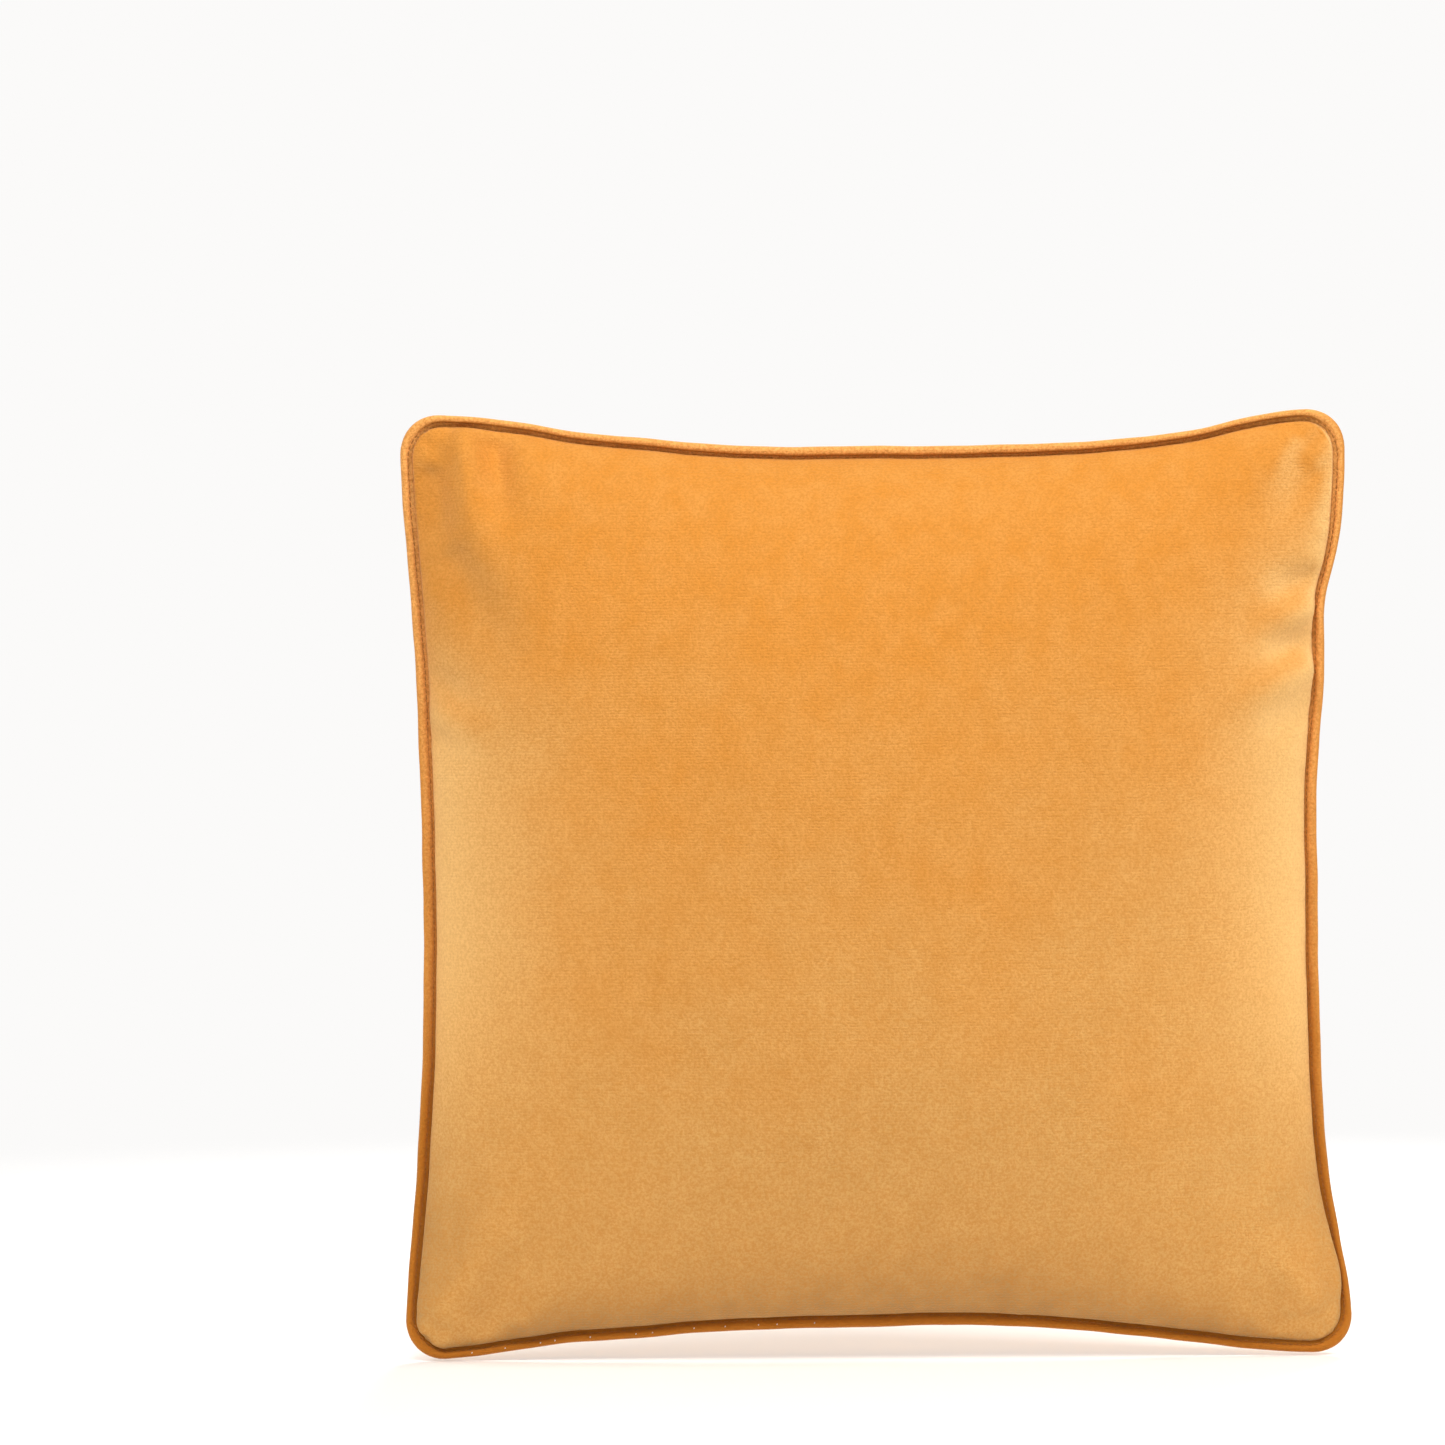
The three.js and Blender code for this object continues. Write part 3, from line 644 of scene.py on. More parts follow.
def edge_places(count=170):
    """Round the pillow: the piping's centre line, the direction out of the pillow, and the length so far."""
    lines = np.linspace(-1, 1, count + 1)[:-1]
    one = np.ones_like(lines)
    u = np.concatenate([lines, one, -lines, -one])
    v = np.concatenate([-one, lines, one, -lines])
    centre = at_plan(u, v, 0, 0.0)
    inner = at_plan(u, v, SEAM_INSET, 0.0)
    out = centre - inner
    out /= np.linalg.norm(out, axis=1, keepdims=True)
    steps = np.linalg.norm(np.roll(centre, -1, axis=0) - centre, axis=1)
    return centre, out, np.concatenate([[0], np.cumsum(steps)])


def section_ring(centre, out, section):
    """Points of a section, given as insets and heights, at one place of the edge."""
    inset, height = np.array(section).T
    ring = centre[None, :] - inset[:, None] * out[None, :]
    ring[:, 1] += height
    return ring


def swept(name, rings, closed):
    """A tube through rings of points, closed on itself or with flat ends."""
    sides = len(rings[0])
    faces = []
    for k in range(len(rings) if closed else len(rings) - 1):
        first = np.arange(sides) + k * sides
        second = np.arange(sides) + (k + 1) % len(rings) * sides
        faces += strip_faces(first, second)
    if not closed:
        faces += [list(range(sides))[::-1], list(range((len(rings) - 1) * sides, len(rings) * sides))]
    made = mesh_object(name, np.concatenate(rings), faces)
    turn_faces_out()
    bpy.ops.object.shade_smooth()
    return made


def arc(radius, start, end, count):
    return [(radius * math.cos(a), radius * math.sin(a)) for a in np.linspace(start, end, count)]


def piping_strip():
    """The bias strip round the cord, with its two flanges running into the seam."""
    flange = GAP / 2 + STRIP_THICKNESS
    centre, out, length = edge_places()
    rings = []
    for place, side, along in zip(centre, out, length):
        swell = 1 + 0.035 * noise.noise((along / 0.021, 3, 7)) + 0.02 * noise.noise((along / 0.007, 5, 1))
        radius = (PIPING_RADIUS - 0.1 * MM) * swell
        inside = radius - STRIP_THICKNESS
        turn = math.asin(flange / radius)
        inner_turn = math.asin(GAP / 2 / inside)
        section = [(ALLOWANCE_INSET, flange)]
        section += arc(radius, turn, 2 * math.pi - turn, 17)
        section += [(ALLOWANCE_INSET, -flange), (ALLOWANCE_INSET, -GAP / 2)]
        section += arc(inside, 2 * math.pi - inner_turn, inner_turn, 11)
        section += [(ALLOWANCE_INSET, GAP / 2)]
        rings.append(section_ring(place, side, section))
    return swept("velvet_piping_strip", rings, True)


def piping_cord():
    """A three-strand cotton cord, laid round the edge and butted at the middle of the lower side."""
    centre, out, length = edge_places(340)
    turns = np.linspace(0, 2 * math.pi, 18, endpoint=False)
    rings = []
    for place, side, along in zip(centre, out, length):
        twist = 2 * math.pi * round(length[-1] / CORD_LAY) * along / length[-1]
        radius = (CORD_RADIUS - 0.15 * MM) * (0.86 + 0.14 * np.abs(np.cos(1.5 * turns)))
        section = np.stack([radius * np.cos(turns + twist), radius * np.sin(turns + twist)], axis=1)
        rings.append(section_ring(place, side, section))
    return swept("twisted_cotton_cord", rings, True)


def one_stitch(length, radius):
    """A stitch of thread along X: a short round run whose ends dip into the cloth."""
    bpy.ops.object.select_all(action="DESELECT")
    bpy.ops.mesh.primitive_cylinder_add(vertices=6, radius=radius, depth=length, rotation=(0, math.pi / 2, 0))
    stitch = bpy.context.object
    bpy.ops.object.transform_apply(location=False, rotation=True, scale=True)
    bpy.ops.object.mode_set(mode="EDIT")
    bpy.ops.mesh.select_all(action="SELECT")
    bpy.ops.mesh.bisect(plane_co=(0, 0, 0), plane_no=(1, 0, 0))
    bpy.ops.object.mode_set(mode="OBJECT")
    points = read_points(stitch)
    ends = np.abs(points[:, 0]) > 0.4 * length
    points[ends, 1:] *= 0.55
    points[ends, 2] -= 1.1 * radius
    faces = [list(face.vertices) for face in stitch.data.polygons]
    bpy.data.objects.remove(stitch)
    return points, faces


def stitched(name, stitch, places):
    """Copies of a stitch: each place is a point, the direction of the run and the direction off the cloth."""
    template, template_faces = stitch
    points, faces = [], []
    for k, (place, run, off) in enumerate(places):
        x_axis = run / np.linalg.norm(run)
        y_axis = np.cross(off, x_axis)
        y_axis /= np.linalg.norm(y_axis)
        axes = np.stack([x_axis, y_axis, np.cross(x_axis, y_axis)])
        points.append(place + template @ axes)
        faces += [[v + k * len(template) for v in face] for face in template_faces]
    made = mesh_object(name, np.concatenate(points), faces)
    turn_faces_out()
    bpy.ops.object.shade_smooth()
    return made


def run_places(spots, pitch, off):
    """Places for stitches along a line of points, a pitch apart."""
    spots = np.asarray(spots)
    length = np.concatenate([[0], np.cumsum(np.linalg.norm(np.diff(spots, axis=0), axis=1))])

    def point_at(reach):
        return np.array([np.interp(reach, length, spots[:, k]) for k in range(3)])

    step = 0.1 * MM
    places = []
    for at in np.arange(pitch / 2, length[-1], pitch):
        places.append((point_at(at), point_at(at + step) - point_at(at - step), np.asarray(off, float)))
    return places


def seam_spots(inset, y):
    """A closed line round the seam at an inset and height."""
    centre, out, _ = edge_places()
    line = centre - inset * out
    line[:, 1] += y
    return np.concatenate([line, line[:1]])


# Where the basting shows on the lower piping, in millimetres from the middle.
BASTING_ENDS = (-196, -180, -163, -156, -139, -117, -109, -89, -74, -58, -49, -31)


# ---- Insert ----

# Margins are numbers of grid lines, counted in from the cover's edge.
INSERT_MARGIN = 4
INSERT_INSET = 16 * MM
INSERT_ALLOWANCE = 8 * MM
INSERT_DEPTH = 3.2 * MM
INSERT_RUMPLE = 1.2 * MM
INSERT_SEAM = INSERT_INSET + 4.5 * MM
INSERT_STITCH = (2.4 * MM, 0.2 * MM)
INSERT_PITCH = 3.2 * MM
RUMPLE_SIZE = 22 * MM
FILL_MARGIN = INSERT_MARGIN + 4
FILL_DEPTH = 5 * MM
FILL_RUMPLE = 3 * MM
FILL_EDGE = 4.5 * MM
CLOSING_HALF = 55 * MM
WHIP_STITCH = (1.9 * MM, 0.2 * MM)
WHIP_PITCH = 3.4 * MM
LABEL_LINES = (2, 7)
LABEL_HALF_LINES = 3
LABEL_DEPTH = 1.7 * MM
LABEL_RUMPLE = 0.1 * MM
LABEL_THICKNESS = 0.25 * MM


def inner_grid(points, facing, depth, rumple, seed):
    """The cover's grid moved in by a depth and rumpled, always inwards."""
    shift = depth + rumple * (0.5 + grid_noise(points, RUMPLE_SIZE, facing * seed))
    return points - grid_normals(points, facing) * np.maximum(shift, depth)[:, :, None]


def insert_panel(name, points, facing):
    """A ticking panel of the insert, which lies against the cover and has its own seam further in."""
    grid = inner_grid(points, facing, INSERT_DEPTH, INSERT_RUMPLE, 3)
    loop = edge_loop(INSERT_MARGIN)
    grid[loop[:, 0], loop[:, 1]] = ring_at(loop, INSERT_INSET, facing * GAP / 2)
    rim = ring_at(loop, INSERT_INSET + INSERT_ALLOWANCE, facing * GAP / 2)
    quads = strip_faces(np.arange(len(rim)) + GRID_POINTS, edge_indices(loop=loop))
    faces = grid_faces(flip=facing > 0, margin=INSERT_MARGIN)
    faces += quads if facing < 0 else [quad[::-1] for quad in quads]
    made = mesh_object(name, np.concatenate([grid.reshape(-1, 3), rim]), faces)
    remove_loose()
    finish_cloth(made, TICKING_THICKNESS, levels=0)
    return made


def remove_loose():
    bpy.ops.object.mode_set(mode="EDIT")
    bpy.ops.mesh.select_all(action="SELECT")
    bpy.ops.mesh.delete_loose(use_verts=True, use_edges=True, use_faces=False)
    bpy.ops.object.mode_set(mode="OBJECT")


def fibre_fill(front, back):
    """The fill: one lumpy body inside the ticking."""
    loop = edge_loop(FILL_MARGIN)
    sides = ((front, -1), (back, 1))
    grids = [inner_grid(points, facing, FILL_DEPTH, FILL_RUMPLE, 8) for points, facing in sides]
    rims = [ring_at(loop, INSERT_INSET + INSERT_ALLOWANCE, y) for y in (-FILL_EDGE, 0, FILL_EDGE)]
    faces = grid_faces(margin=FILL_MARGIN) + grid_faces(GRID_POINTS, flip=True, margin=FILL_MARGIN)
    rings = [edge_indices(loop=loop)]
    rings += [np.arange(len(loop)) + 2 * GRID_POINTS + k * len(loop) for k in range(3)]
    rings.append(edge_indices(GRID_POINTS, loop=loop))
    for first, second in zip(rings, rings[1:]):
        faces += strip_faces(second, first)
    points = np.concatenate([*(grid.reshape(-1, 3) for grid in grids), *rims])
    made = mesh_object("fibre_filling", points, faces)
    remove_loose()
    turn_faces_out()
    bpy.ops.object.shade_smooth()
    return made


def closing_places():
    """Where the whip stitches that close the insert's filling gap go over its lower edge."""
    across = np.arange(-CLOSING_HALF, CLOSING_HALF, WHIP_PITCH)
    edge = at_plan(across / HALF, -np.ones_like(across), INSERT_INSET - 0.3 * MM, 0.0)
    return [(spot, np.array([0.45, 1, 0]), np.array([0, 0, -1.0])) for spot in edge]


def care_label(points):
    """A blank satin ribbon, sewn into the left side's seam and lying on the inside of the back panel."""
    first, last = LABEL_LINES
    middle = CELLS // 2
    across = slice(middle - LABEL_HALF_LINES, middle + LABEL_HALF_LINES + 1)
    ribbon = inner_grid(points, 1, LABEL_DEPTH, LABEL_RUMPLE, 5)[first : last + 1, across]
    rows, columns = ribbon.shape[:2]
    start = np.arange(rows * columns).reshape(rows, columns)
    corners = [start[:-1, :-1], start[1:, :-1], start[1:, 1:], start[:-1, 1:]]
    quads = np.stack([corner.ravel() for corner in corners], axis=1)[:, ::-1].tolist()
    made = mesh_object("satin_care_label", ribbon.reshape(-1, 3), quads)
    finish_cloth(made, LABEL_THICKNESS)
    width = np.linalg.norm(np.diff(ribbon[0], axis=0), axis=1).sum()
    length = np.linalg.norm(np.diff(ribbon[:, 0], axis=0), axis=1).sum()
    return made, (float(width), float(length))


# ---- Zip: woven tapes, nylon coils, thread and brass, along the slider's arc ----

TRACK = Vector(next(joint for joint in frame["joints"] if joint["name"] == "slider_travel")["pos_m"])
TAPE_END = 12.6 * MM
TRACK_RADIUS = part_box("zip_tape_front")[1].z - TRACK.z - TAPE_END
TAPE_STARTS = {"front": 3.6 * MM, "back": 4.2 * MM}
COIL_INSET = 6.2 * MM
COIL_PITCH = 1.25 * MM
COIL_WIRE = 0.24 * MM
RINGS_PER_TURN = 8
WIRE_SIDES = 5
ZIP_STITCH = (2.2 * MM, 0.2 * MM)
ZIP_STITCH_PITCH = 3 * MM
ZIP_STITCH_INSET = 10.2 * MM
TUMBLED_EDGE = 0.09 * MM


def on_track(along, inset, y):
    """A point beside the slider's arc, at a length along it from the middle of the zip."""
    angle = along / TRACK_RADIUS
    reach = TRACK_RADIUS + inset
    return np.array([reach * math.sin(angle), y, TRACK.z + reach * math.cos(angle)])


def zip_tape(node, start):
    """A woven tape with a rounded, slightly thicker selvedge at each side."""
    low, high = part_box(node)
    middle, half = (low.y + high.y) / 2, (high.y - low.y) / 2
    web = 0.8 * half
    # The selvedge: distances in from the tape's edge, in millimetres, and shares of half the tape's thickness.
    side = [(0, 0.5), (0.15, 1), (0.7, 1), (1.0, web / half)]
    outline = [(start + reach * MM, share * half) for reach, share in side]
    outline += [(TAPE_END - reach * MM, share * half) for reach, share in reversed(side)]
    section = outline + [(inset, -y) for inset, y in reversed(outline)]
    rings = []
    for along in np.linspace(-ZIP_HALF, ZIP_HALF, 90):
        rings.append(np.array([on_track(along, inset, middle + y) for inset, y in section]))
    return swept("woven_" + node, rings, False)


def zip_coil(node):
    """One row of the zip: a monofilament wound in a close helix."""
    low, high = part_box(node)
    middle, radius = (low.y + high.y) / 2, (high.y - low.y) / 2 - COIL_WIRE
    half = high.x - COIL_WIRE
    steps = int(2 * half / COIL_PITCH) * RINGS_PER_TURN
    turns = np.arange(steps) * 2 * math.pi / RINGS_PER_TURN
    rings = []
    for along, turn in zip(np.linspace(-half, half, steps), turns):
        ring = []
        for around in np.arange(WIRE_SIDES) * 2 * math.pi / WIRE_SIDES:
            reach = radius + COIL_WIRE * math.cos(around)
            shift = COIL_WIRE * math.sin(around)
            inset, y = COIL_INSET + reach * math.cos(turn), middle + reach * math.sin(turn)
            ring.append(on_track(along + shift, inset, y))
        rings.append(np.array(ring))
    return swept("wound_" + node, rings, False)


def zip_stitches(side, off):
    """The run of stitches that sews a tape in; off is the way from the tape to the thread, in Y."""
    low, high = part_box("zip_stitch_" + side)
    middle = (low.y + high.y) / 2
    spots = [on_track(along, ZIP_STITCH_INSET, middle) for along in np.linspace(-ZIP_HALF, ZIP_HALF, 60)]
    places = run_places(spots, ZIP_STITCH_PITCH, (0, off, 0))
    return stitched("zip_stitches_" + side, one_stitch(*ZIP_STITCH), places)


def tumbled(node):
    """A cast zip piece as it comes from the tumbler, with its sharp edges rounded."""
    made = add_object("brass_" + node, bpy.data.objects[node].data.copy())
    bpy.ops.object.mode_set(mode="EDIT")
    bpy.ops.mesh.select_all(action="SELECT")
    bpy.ops.mesh.remove_doubles(threshold=1e-6)
    bpy.ops.mesh.dissolve_limited(angle_limit=math.radians(2))
    bpy.ops.object.mode_set(mode="OBJECT")
    edges = made.modifiers.new("edges", "BEVEL")
    edges.width = TUMBLED_EDGE
    edges.segments = 2
    edges.limit_method = "ANGLE"
    bpy.ops.object.modifier_apply(modifier=edges.name)
    bpy.ops.object.shade_smooth_by_angle(angle=math.radians(40))
    return made


# ---- Materials ----


# What shows in the velvet: clouds and streaks left by brushing, the tufts of the pile, and its woven rows.
CLOUD_SIZE = 70 * MM
STREAK_SIZE = 11 * MM
TUFT_SIZE = 1.3 * MM
ROW_PITCH = 2.2 * MM


def painted_light_and_cloud_share(tree, place, height, slope, painted_height_light, painted_slope_light_strength):
    """How much of the lit tone is painted, from 0 to 1: painted light from above by slope and height, and soft
    clouds of tone at random.
    """
    clouds = add_node(tree, "ShaderNodeTexNoise", {"Vector": place, "Scale": 1 / CLOUD_SIZE, "Detail": 3.0})
    # Painted light from above: a slope that faces up is painted lighter, one that faces down darker.
    painted_slope_light = sum_of(tree, "MULTIPLY", slope["Z"], painted_slope_light_strength)
    painted_slope_light_and_clouds = sum_of(tree, "MULTIPLY_ADD", clouds.outputs["Fac"], 0.5, painted_slope_light)
    # Painted light from above: the colour is painted lighter towards the top of the pillow and darker towards
    # the bottom.
    painted_top_light = ramp(tree, height["Z"], 0.0, 2 * MIDDLE_Z, -painted_height_light, painted_height_light, "LINEAR")
    return ramp(tree, sum_of(tree, "ADD", painted_slope_light_and_clouds, painted_top_light), -0.15, 0.60)


def painted_side_sheen_share(tree, height, side, turned):
    """How much painted sheen the turned sides get: most at the pillow's fullest part, and on the right up to
    the corner.
    """
    above = ramp(tree, height["Z"], MIDDLE_Z - 0.17, MIDDLE_Z - 0.02, 0.05)
    below = ramp(tree, height["Z"], MIDDLE_Z + 0.05, MIDDLE_Z + 0.15, 1.0, 0.08)
    # The right side gets more painted sheen, as more light falls on it there.
    right = sum_of(tree, "MULTIPLY", side, 1.15)
    top = sum_of(tree, "MAXIMUM", below, right)
    band = sum_of(tree, "MULTIPLY", above, top)
    return sum_of(tree, "MULTIPLY", turned, band)


def painted_under_shade_share(tree, height, slope, turned):
    """How much painted shade shows: right beneath, and at the foot of the turned sides."""
    # Painted shade under slopes that face down.
    painted_shade_beneath = ramp(tree, slope["Z"], -0.35, -0.9)
    # Painted shade low down on the turned sides.
    painted_shade_at_foot = ramp(tree, height["Z"], MIDDLE_Z - 0.20, MIDDLE_Z - 0.06, 0.75, 0.0)
    return sum_of(tree, "MAXIMUM", painted_shade_beneath, sum_of(tree, "MULTIPLY", turned, painted_shade_at_foot))


def velvet(name, painted_top_light, painted_lower_shade, edge, deep, painted_under_shade, sheen_tint, sheen, painted_height_light, painted_slope_light_strength):
    """Cotton velvet: matt and deep seen from the front, with a pale painted sheen where it turns away.

    Light from above is painted into its colour: a slope that faces up gets the lit tone and one that faces down
    the painted lower shade, with a darker painted shade right beneath, and soft clouds of tone vary this at
    random.
    Two of its numbers set how strongly the slope does that, and how much lighter the colour is painted from the
    bottom of the pillow to the top. The pile is about 1.5 mm long. Its tufts stand 0.5 mm apart, and are drawn
    larger so that they show.
    """
    material, tree, place = new_material(name)
    slope = add_node(tree, "ShaderNodeSeparateXYZ", {0: place.node.outputs["Normal"]}).outputs
    height = add_node(tree, "ShaderNodeSeparateXYZ", {0: place}).outputs
    stretch = add_node(tree, "ShaderNodeMapping", {"Vector": place, "Scale": (1.0, 1.0, 0.7)})
    streaks = add_node(
        tree, "ShaderNodeTexNoise", {"Vector": stretch.outputs[0], "Scale": 1 / STREAK_SIZE, "Detail": 4.0}
    )
    tufts = add_node(
        tree, "ShaderNodeTexNoise", {"Vector": place, "Scale": 1 / TUFT_SIZE, "Detail": 2.0, "Roughness": 0.7}
    )
    rows = add_node(
        tree,
        "ShaderNodeTexWave",
        {"Vector": place, "Scale": 0.5 / ROW_PITCH, "Distortion": 1.6, "Detail": 2.0, "Detail Scale": 1.5},
        wave_type="BANDS",
        bands_direction="Z",
    )

    side = sum_of(tree, "SIGN", height["X"])
    turned = ramp(tree, sum_of(tree, "MULTIPLY", slope["X"], side), 0.12, 0.85, 0.0, 0.85)
    # Painted light from above, with soft clouds of tone at random.
    painted_light_and_clouds = painted_light_and_cloud_share(tree, place, height, slope, painted_height_light, painted_slope_light_strength)
    # Painted sheen, pale on the turned sides.
    painted_side_sheen = painted_side_sheen_share(tree, height, side, turned)
    # Painted shade beneath and low on the turned sides.
    dull_and_painted_shade = painted_under_shade_share(tree, height, slope, turned)
    worn = ramp(tree, streaks.outputs["Fac"], 0.35, 0.65, 0.0, 0.10, "LINEAR")
    specks = ramp(tree, tufts.outputs["Fac"], 0.38, 0.62, 0.0, 0.5, "LINEAR")
    speckle = sum_of(tree, "MULTIPLY", specks, sum_of(tree, "MULTIPLY_ADD", painted_side_sheen, -0.55, 1.0))

    # Painted light from above: the lit tone where the share is high, the painted lower shade where it is low.
    colour = mix_colour(tree, painted_light_and_clouds, linear(painted_lower_shade), linear(painted_top_light))
    # Over it: painted shade, a painted sheen in the pale edge tone, brushed streaks in the same pale tone at
    # random, and the tufts' specks in the deep tone.
    for factor, tone in ((dull_and_painted_shade, painted_under_shade), (painted_side_sheen, edge), (worn, edge), (speckle, deep)):
        colour = mix_colour(tree, factor, colour, linear(tone))
    relief = sum_of(tree, "MULTIPLY_ADD", rows.outputs["Fac"], 0.12, tufts.outputs["Fac"])
    bump = add_node(tree, "ShaderNodeBump", {"Height": relief, "Strength": 0.8, "Distance": 0.7 * MM})
    shader = add_node(
        tree,
        "ShaderNodeBsdfPrincipled",
        {
            "Base Color": colour,
            "Roughness": 0.92,
            "Specular IOR Level": 0.15,
            "Sheen Weight": sheen,
            "Sheen Roughness": 0.42,
            "Sheen Tint": linear(sheen_tint),
            "Normal": bump.outputs[0],
        },
    )
    add_node(tree, "ShaderNodeOutputMaterial", {"Surface": shader.outputs[0]})
    return material


SLUB_SIZE = 12 * MM
BRASS_PATCH = 1.6 * MM
BRASS_RELIEF = 0.04 * MM


def cloth_finish(name, base, shade, thread, roughness, depth):
    """A plain woven or twisted finish, with slubs in its tone.

    The pitch of its crossing threads and the depth of their relief are in millimetres.
    """
    material, tree, place = new_material(name)
    links = {"Vector": place, "Scale": 0.5 / (thread * MM), "Distortion": 0.6, "Detail Scale": 3.0}
    weft = add_node(tree, "ShaderNodeTexWave", links, bands_direction="Z")
    warp = add_node(tree, "ShaderNodeTexWave", links, bands_direction="X")
    weave = sum_of(tree, "MULTIPLY", weft.outputs["Fac"], warp.outputs["Fac"])
    slubs = add_node(tree, "ShaderNodeTexNoise", {"Vector": place, "Scale": 1 / SLUB_SIZE, "Detail": 5.0})
    tone = sum_of(tree, "MULTIPLY_ADD", weave, 0.5, slubs.outputs["Fac"])
    spread = ramp(tree, tone, 0.35, 1.0, kind="LINEAR")
    colour = mix_colour(tree, spread, linear(shade), linear(base))
    bump = add_node(tree, "ShaderNodeBump", {"Height": tone, "Strength": 0.5, "Distance": depth * MM})
    shader = add_node(
        tree,
        "ShaderNodeBsdfPrincipled",
        {"Base Color": colour, "Roughness": roughness, "Specular IOR Level": 0.3, "Normal": bump.outputs[0]},
    )
    add_node(tree, "ShaderNodeOutputMaterial", {"Surface": shader.outputs[0]})
    return material


def brass(name, base, dull_and_painted_shade):
    """Antiqued brass, tumbled: warm and a little uneven, brighter where it rubs."""
    material, tree, place = new_material(name)
    noises = add_node(tree, "ShaderNodeTexNoise", {"Vector": place, "Scale": 1 / BRASS_PATCH, "Detail": 4.0})
    patches = noises.outputs["Fac"]
    tone = ramp(tree, patches, 0.35, 0.7, kind="LINEAR")
    colour = mix_colour(tree, tone, linear(dull_and_painted_shade), linear(base))
    rough = ramp(tree, patches, 0.3, 0.7, 0.45, 0.28, "LINEAR")
    bump = add_node(tree, "ShaderNodeBump", {"Height": patches, "Strength": 0.2, "Distance": BRASS_RELIEF})
    shader = add_node(
        tree,
        "ShaderNodeBsdfPrincipled",
        {"Base Color": colour, "Metallic": 1.0, "Roughness": rough, "Normal": bump.outputs[0]},
    )
    add_node(tree, "ShaderNodeOutputMaterial", {"Surface": shader.outputs[0]})
    return material


# ---- Making ----


def dress(piece, finish, slot, *nodes, body="pillow"):
    """Gives a piece its finish and its body, and hides the CAD nodes that it stands for. The slot is not used.
    """
    piece.data.materials.clear()
    piece.data.materials.append(finish)
    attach(piece, body)
    if nodes:
        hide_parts(*nodes)
    return piece


make_camera()
make_stage()

# The cover: a warm orange-gold, with painted light from above, painted shade beneath and a pale painted sheen
# in its edge tone on the turned sides; the edge tone also marks brushed streaks at random.
COVER_VELVET = velvet(
    "gold_velvet",
    painted_top_light="#dd9038",
    painted_lower_shade="#d6a45f",
    edge="#ffcd83",
    deep="#c57d2b",
    painted_under_shade="#a08052",
    sheen_tint="#ffcd90",
    sheen=0.5,
    painted_height_light=0.27,
    painted_slope_light_strength=0.4,
)
# The same cloth cut on the bias and pulled round the cord, with stronger painted light from above: bright on
# top, and a painted shadow of the stuffed panels darkens its lower side.
PIPING_VELVET = velvet(
    "gold_velvet_on_the_bias",
    painted_top_light="#fbb363",
    painted_lower_shade="#b26d20",
    edge="#dc8f3a",
    deep="#b5681b",
    painted_under_shade="#a9681f",
    sheen_tint="#ffdcae",
    sheen=0.5,
    painted_height_light=0.6,
    painted_slope_light_strength=0.12,
)
COTTON = cloth_finish("unbleached_cotton_cord", "#e9dfc9", "#cdbf9f", 0.5, 0.9, 0.15)
GOLD_THREAD = cloth_finish("gold_polyester_thread", "#c07a30", "#8f5417", 0.25, 0.55, 0.05)
WHITE_THREAD = cloth_finish("white_polyester_thread", "#f1eee6", "#d8d4ca", 0.25, 0.55, 0.05)
TICKING = cloth_finish("white_cotton_ticking", "#f0eee8", "#dedbd2", 0.45, 0.9, 0.1)
FIBRE = cloth_finish("crimped_polyester_fibre", "#fafaf7", "#e4e3de", 0.3, 1.0, 0.8)
TAPE = cloth_finish("woven_zip_tape", "#c98a45", "#a86c2b", 0.4, 0.8, 0.08)
COIL = cloth_finish("gold_nylon_coil", "#cf8f48", "#b87a35", 0.3, 0.35, 0.02)
SATIN = cloth_finish("blank_satin_ribbon", "#f3f1ec", "#e3e0d8", 0.2, 0.4, 0.03)
BRASS = brass("antiqued_brass", "#d8b878", "#a98c58")

front, back = fill_cover()
front = add_folds(settle(front, -1), FRONT_FOLDS, -1)
back = add_folds(settle(back, 1), BACK_FOLDS, 1)
front_cloth = hang_over(front)

for piece, node in (
    (cover_panel("velvet_front_panel", front_cloth, -1), "front_panel"),
    (cover_panel("velvet_back_panel", back, 1), "back_panel"),
):
    dress(piece, COVER_VELVET, "velvet", node)

dress(piping_strip(), PIPING_VELVET, "piping_velvet", "piping_cover")
dress(piping_cord(), COTTON, "cotton_cord", "piping_cord")

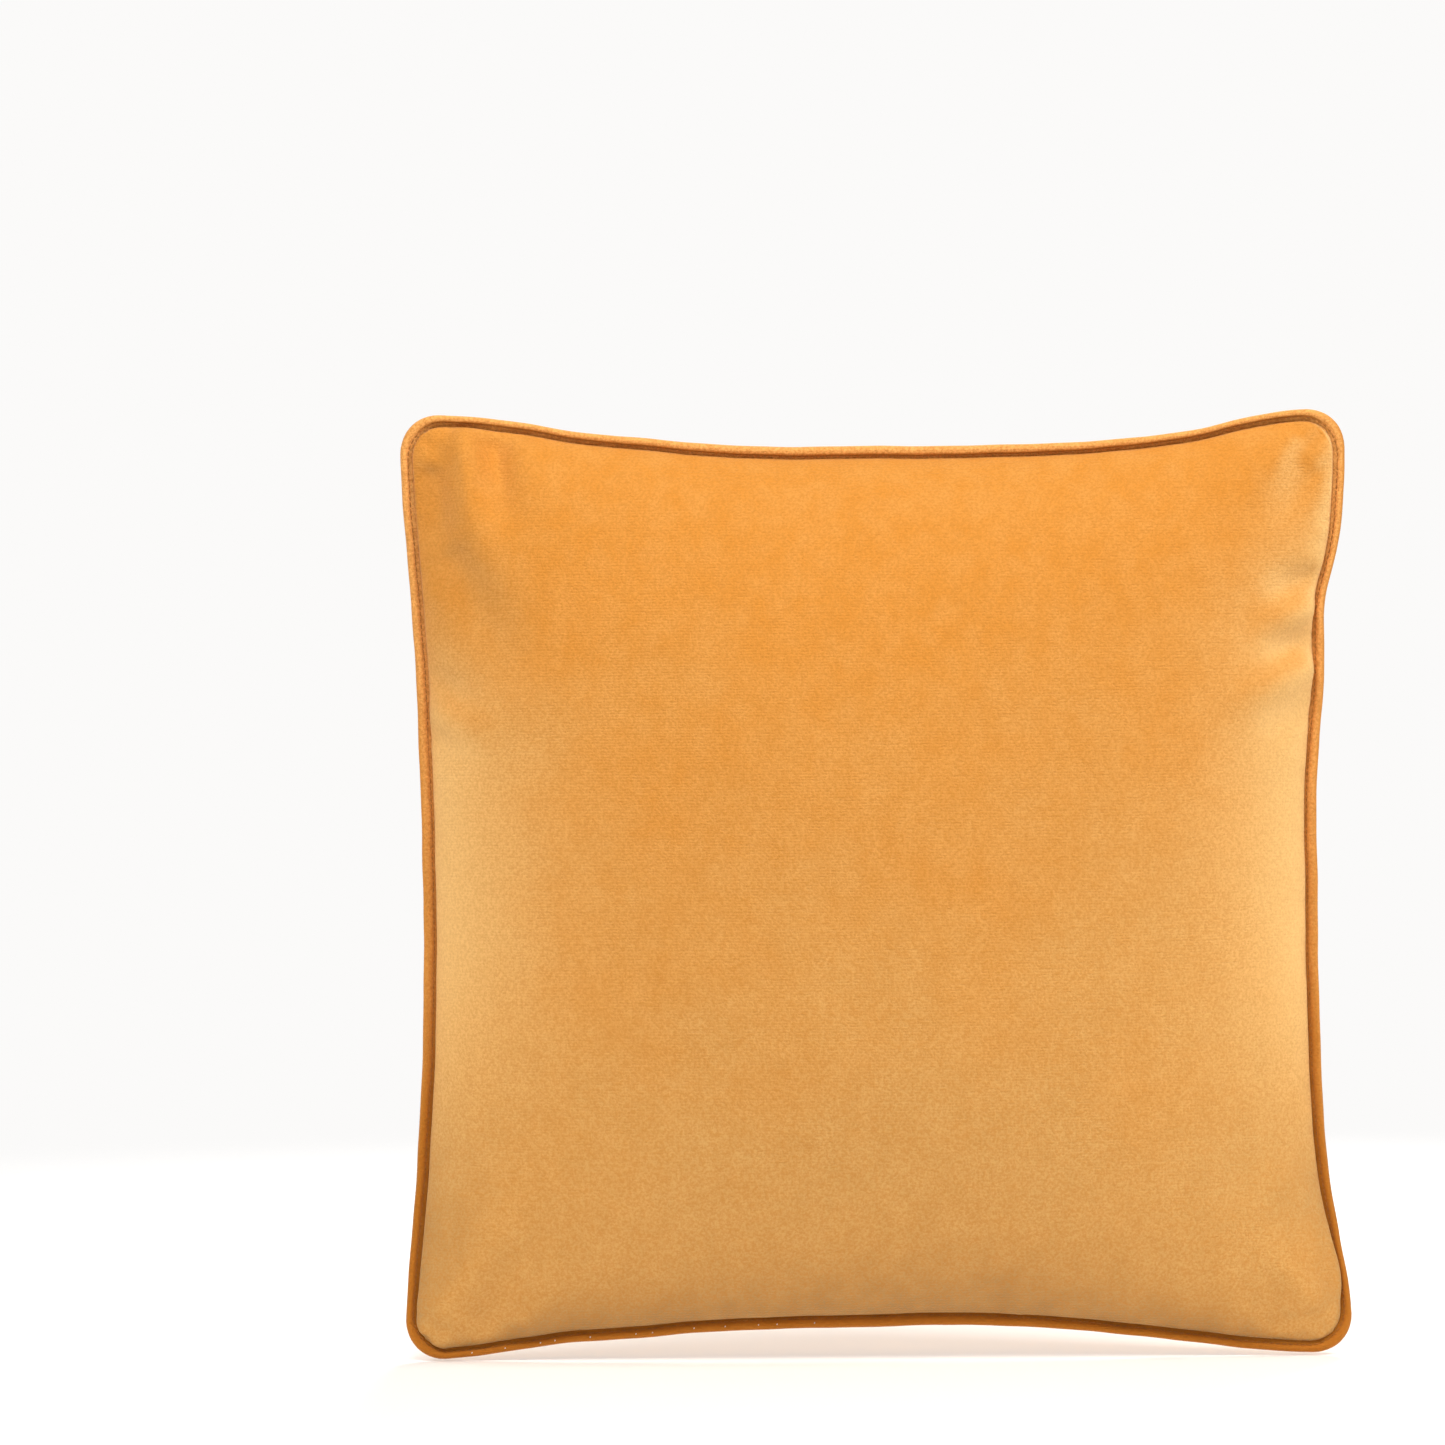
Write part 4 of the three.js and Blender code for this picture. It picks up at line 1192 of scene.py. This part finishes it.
seam = run_places(seam_spots(SEAM_INSET - 0.3 * MM, -SEAM_Y - 0.75 * MM), SEAM_PITCH, (0, -1, 0))
seam_stitches = stitched("seam_stitches", one_stitch(*SEAM_STITCH), seam)
dress(seam_stitches, GOLD_THREAD, "gold_thread", "cover_seam_thread")

# A few pale ends of basting thread still show on the piping along the lower edge.
lower_edge = [at_plan(x * MM / HALF, -1.0, 0.2 * MM, -PIPING_RADIUS) for x in BASTING_ENDS]
ends = [(spot, np.array([0.5, 0, 1.0]), np.array([0, -1.0, 0])) for spot in lower_edge]
dress(stitched("basting_ends", one_stitch(*BASTING_STITCH), ends), WHITE_THREAD, "white_thread")

for piece, node in (
    (insert_panel("ticking_front_panel", front, -1), "insert_front_panel"),
    (insert_panel("ticking_back_panel", back, 1), "insert_back_panel"),
):
    dress(piece, TICKING, "ticking", node)
filling = dress(fibre_fill(front, back), FIBRE, "fibre_fill", "fibre_fill")

insert_line = ring_at(LOOP, INSERT_SEAM, GAP / 2 + TICKING_THICKNESS + INSERT_STITCH[1])
insert_seam = run_places(np.concatenate([insert_line, insert_line[:1]]), INSERT_PITCH, (0, 1, 0))
insert_stitches = stitched("insert_seam_stitches", one_stitch(*INSERT_STITCH), insert_seam)
dress(insert_stitches, WHITE_THREAD, "white_thread", "insert_seam_thread")
whip_stitches = stitched("insert_whip_stitches", one_stitch(*WHIP_STITCH), closing_places())
dress(whip_stitches, WHITE_THREAD, "white_thread", "insert_closing_stitch")
label, label_size = care_label(back)
dress(label, SATIN, "label_satin", "care_label")

for side, off in (("front", 1), ("back", -1)):
    dress(zip_tape("zip_tape_" + side, TAPE_STARTS[side]), TAPE, "zip_tape", "zip_tape_" + side)
    dress(zip_coil("zip_coil_" + side), COIL, "zip_coil", "zip_coil_" + side)
    dress(zip_stitches(side, off), GOLD_THREAD, "gold_thread", "zip_stitch_" + side)
for node in ("zip_top_stop_front", "zip_top_stop_back", "zip_bottom_stop"):
    dress(tumbled(node), BRASS, "zip_metal", node)
dress(tumbled("zip_slider"), BRASS, "zip_metal", "zip_slider", body="slider")
dress(tumbled("zip_pull"), BRASS, "zip_metal", "zip_pull", body="pull")
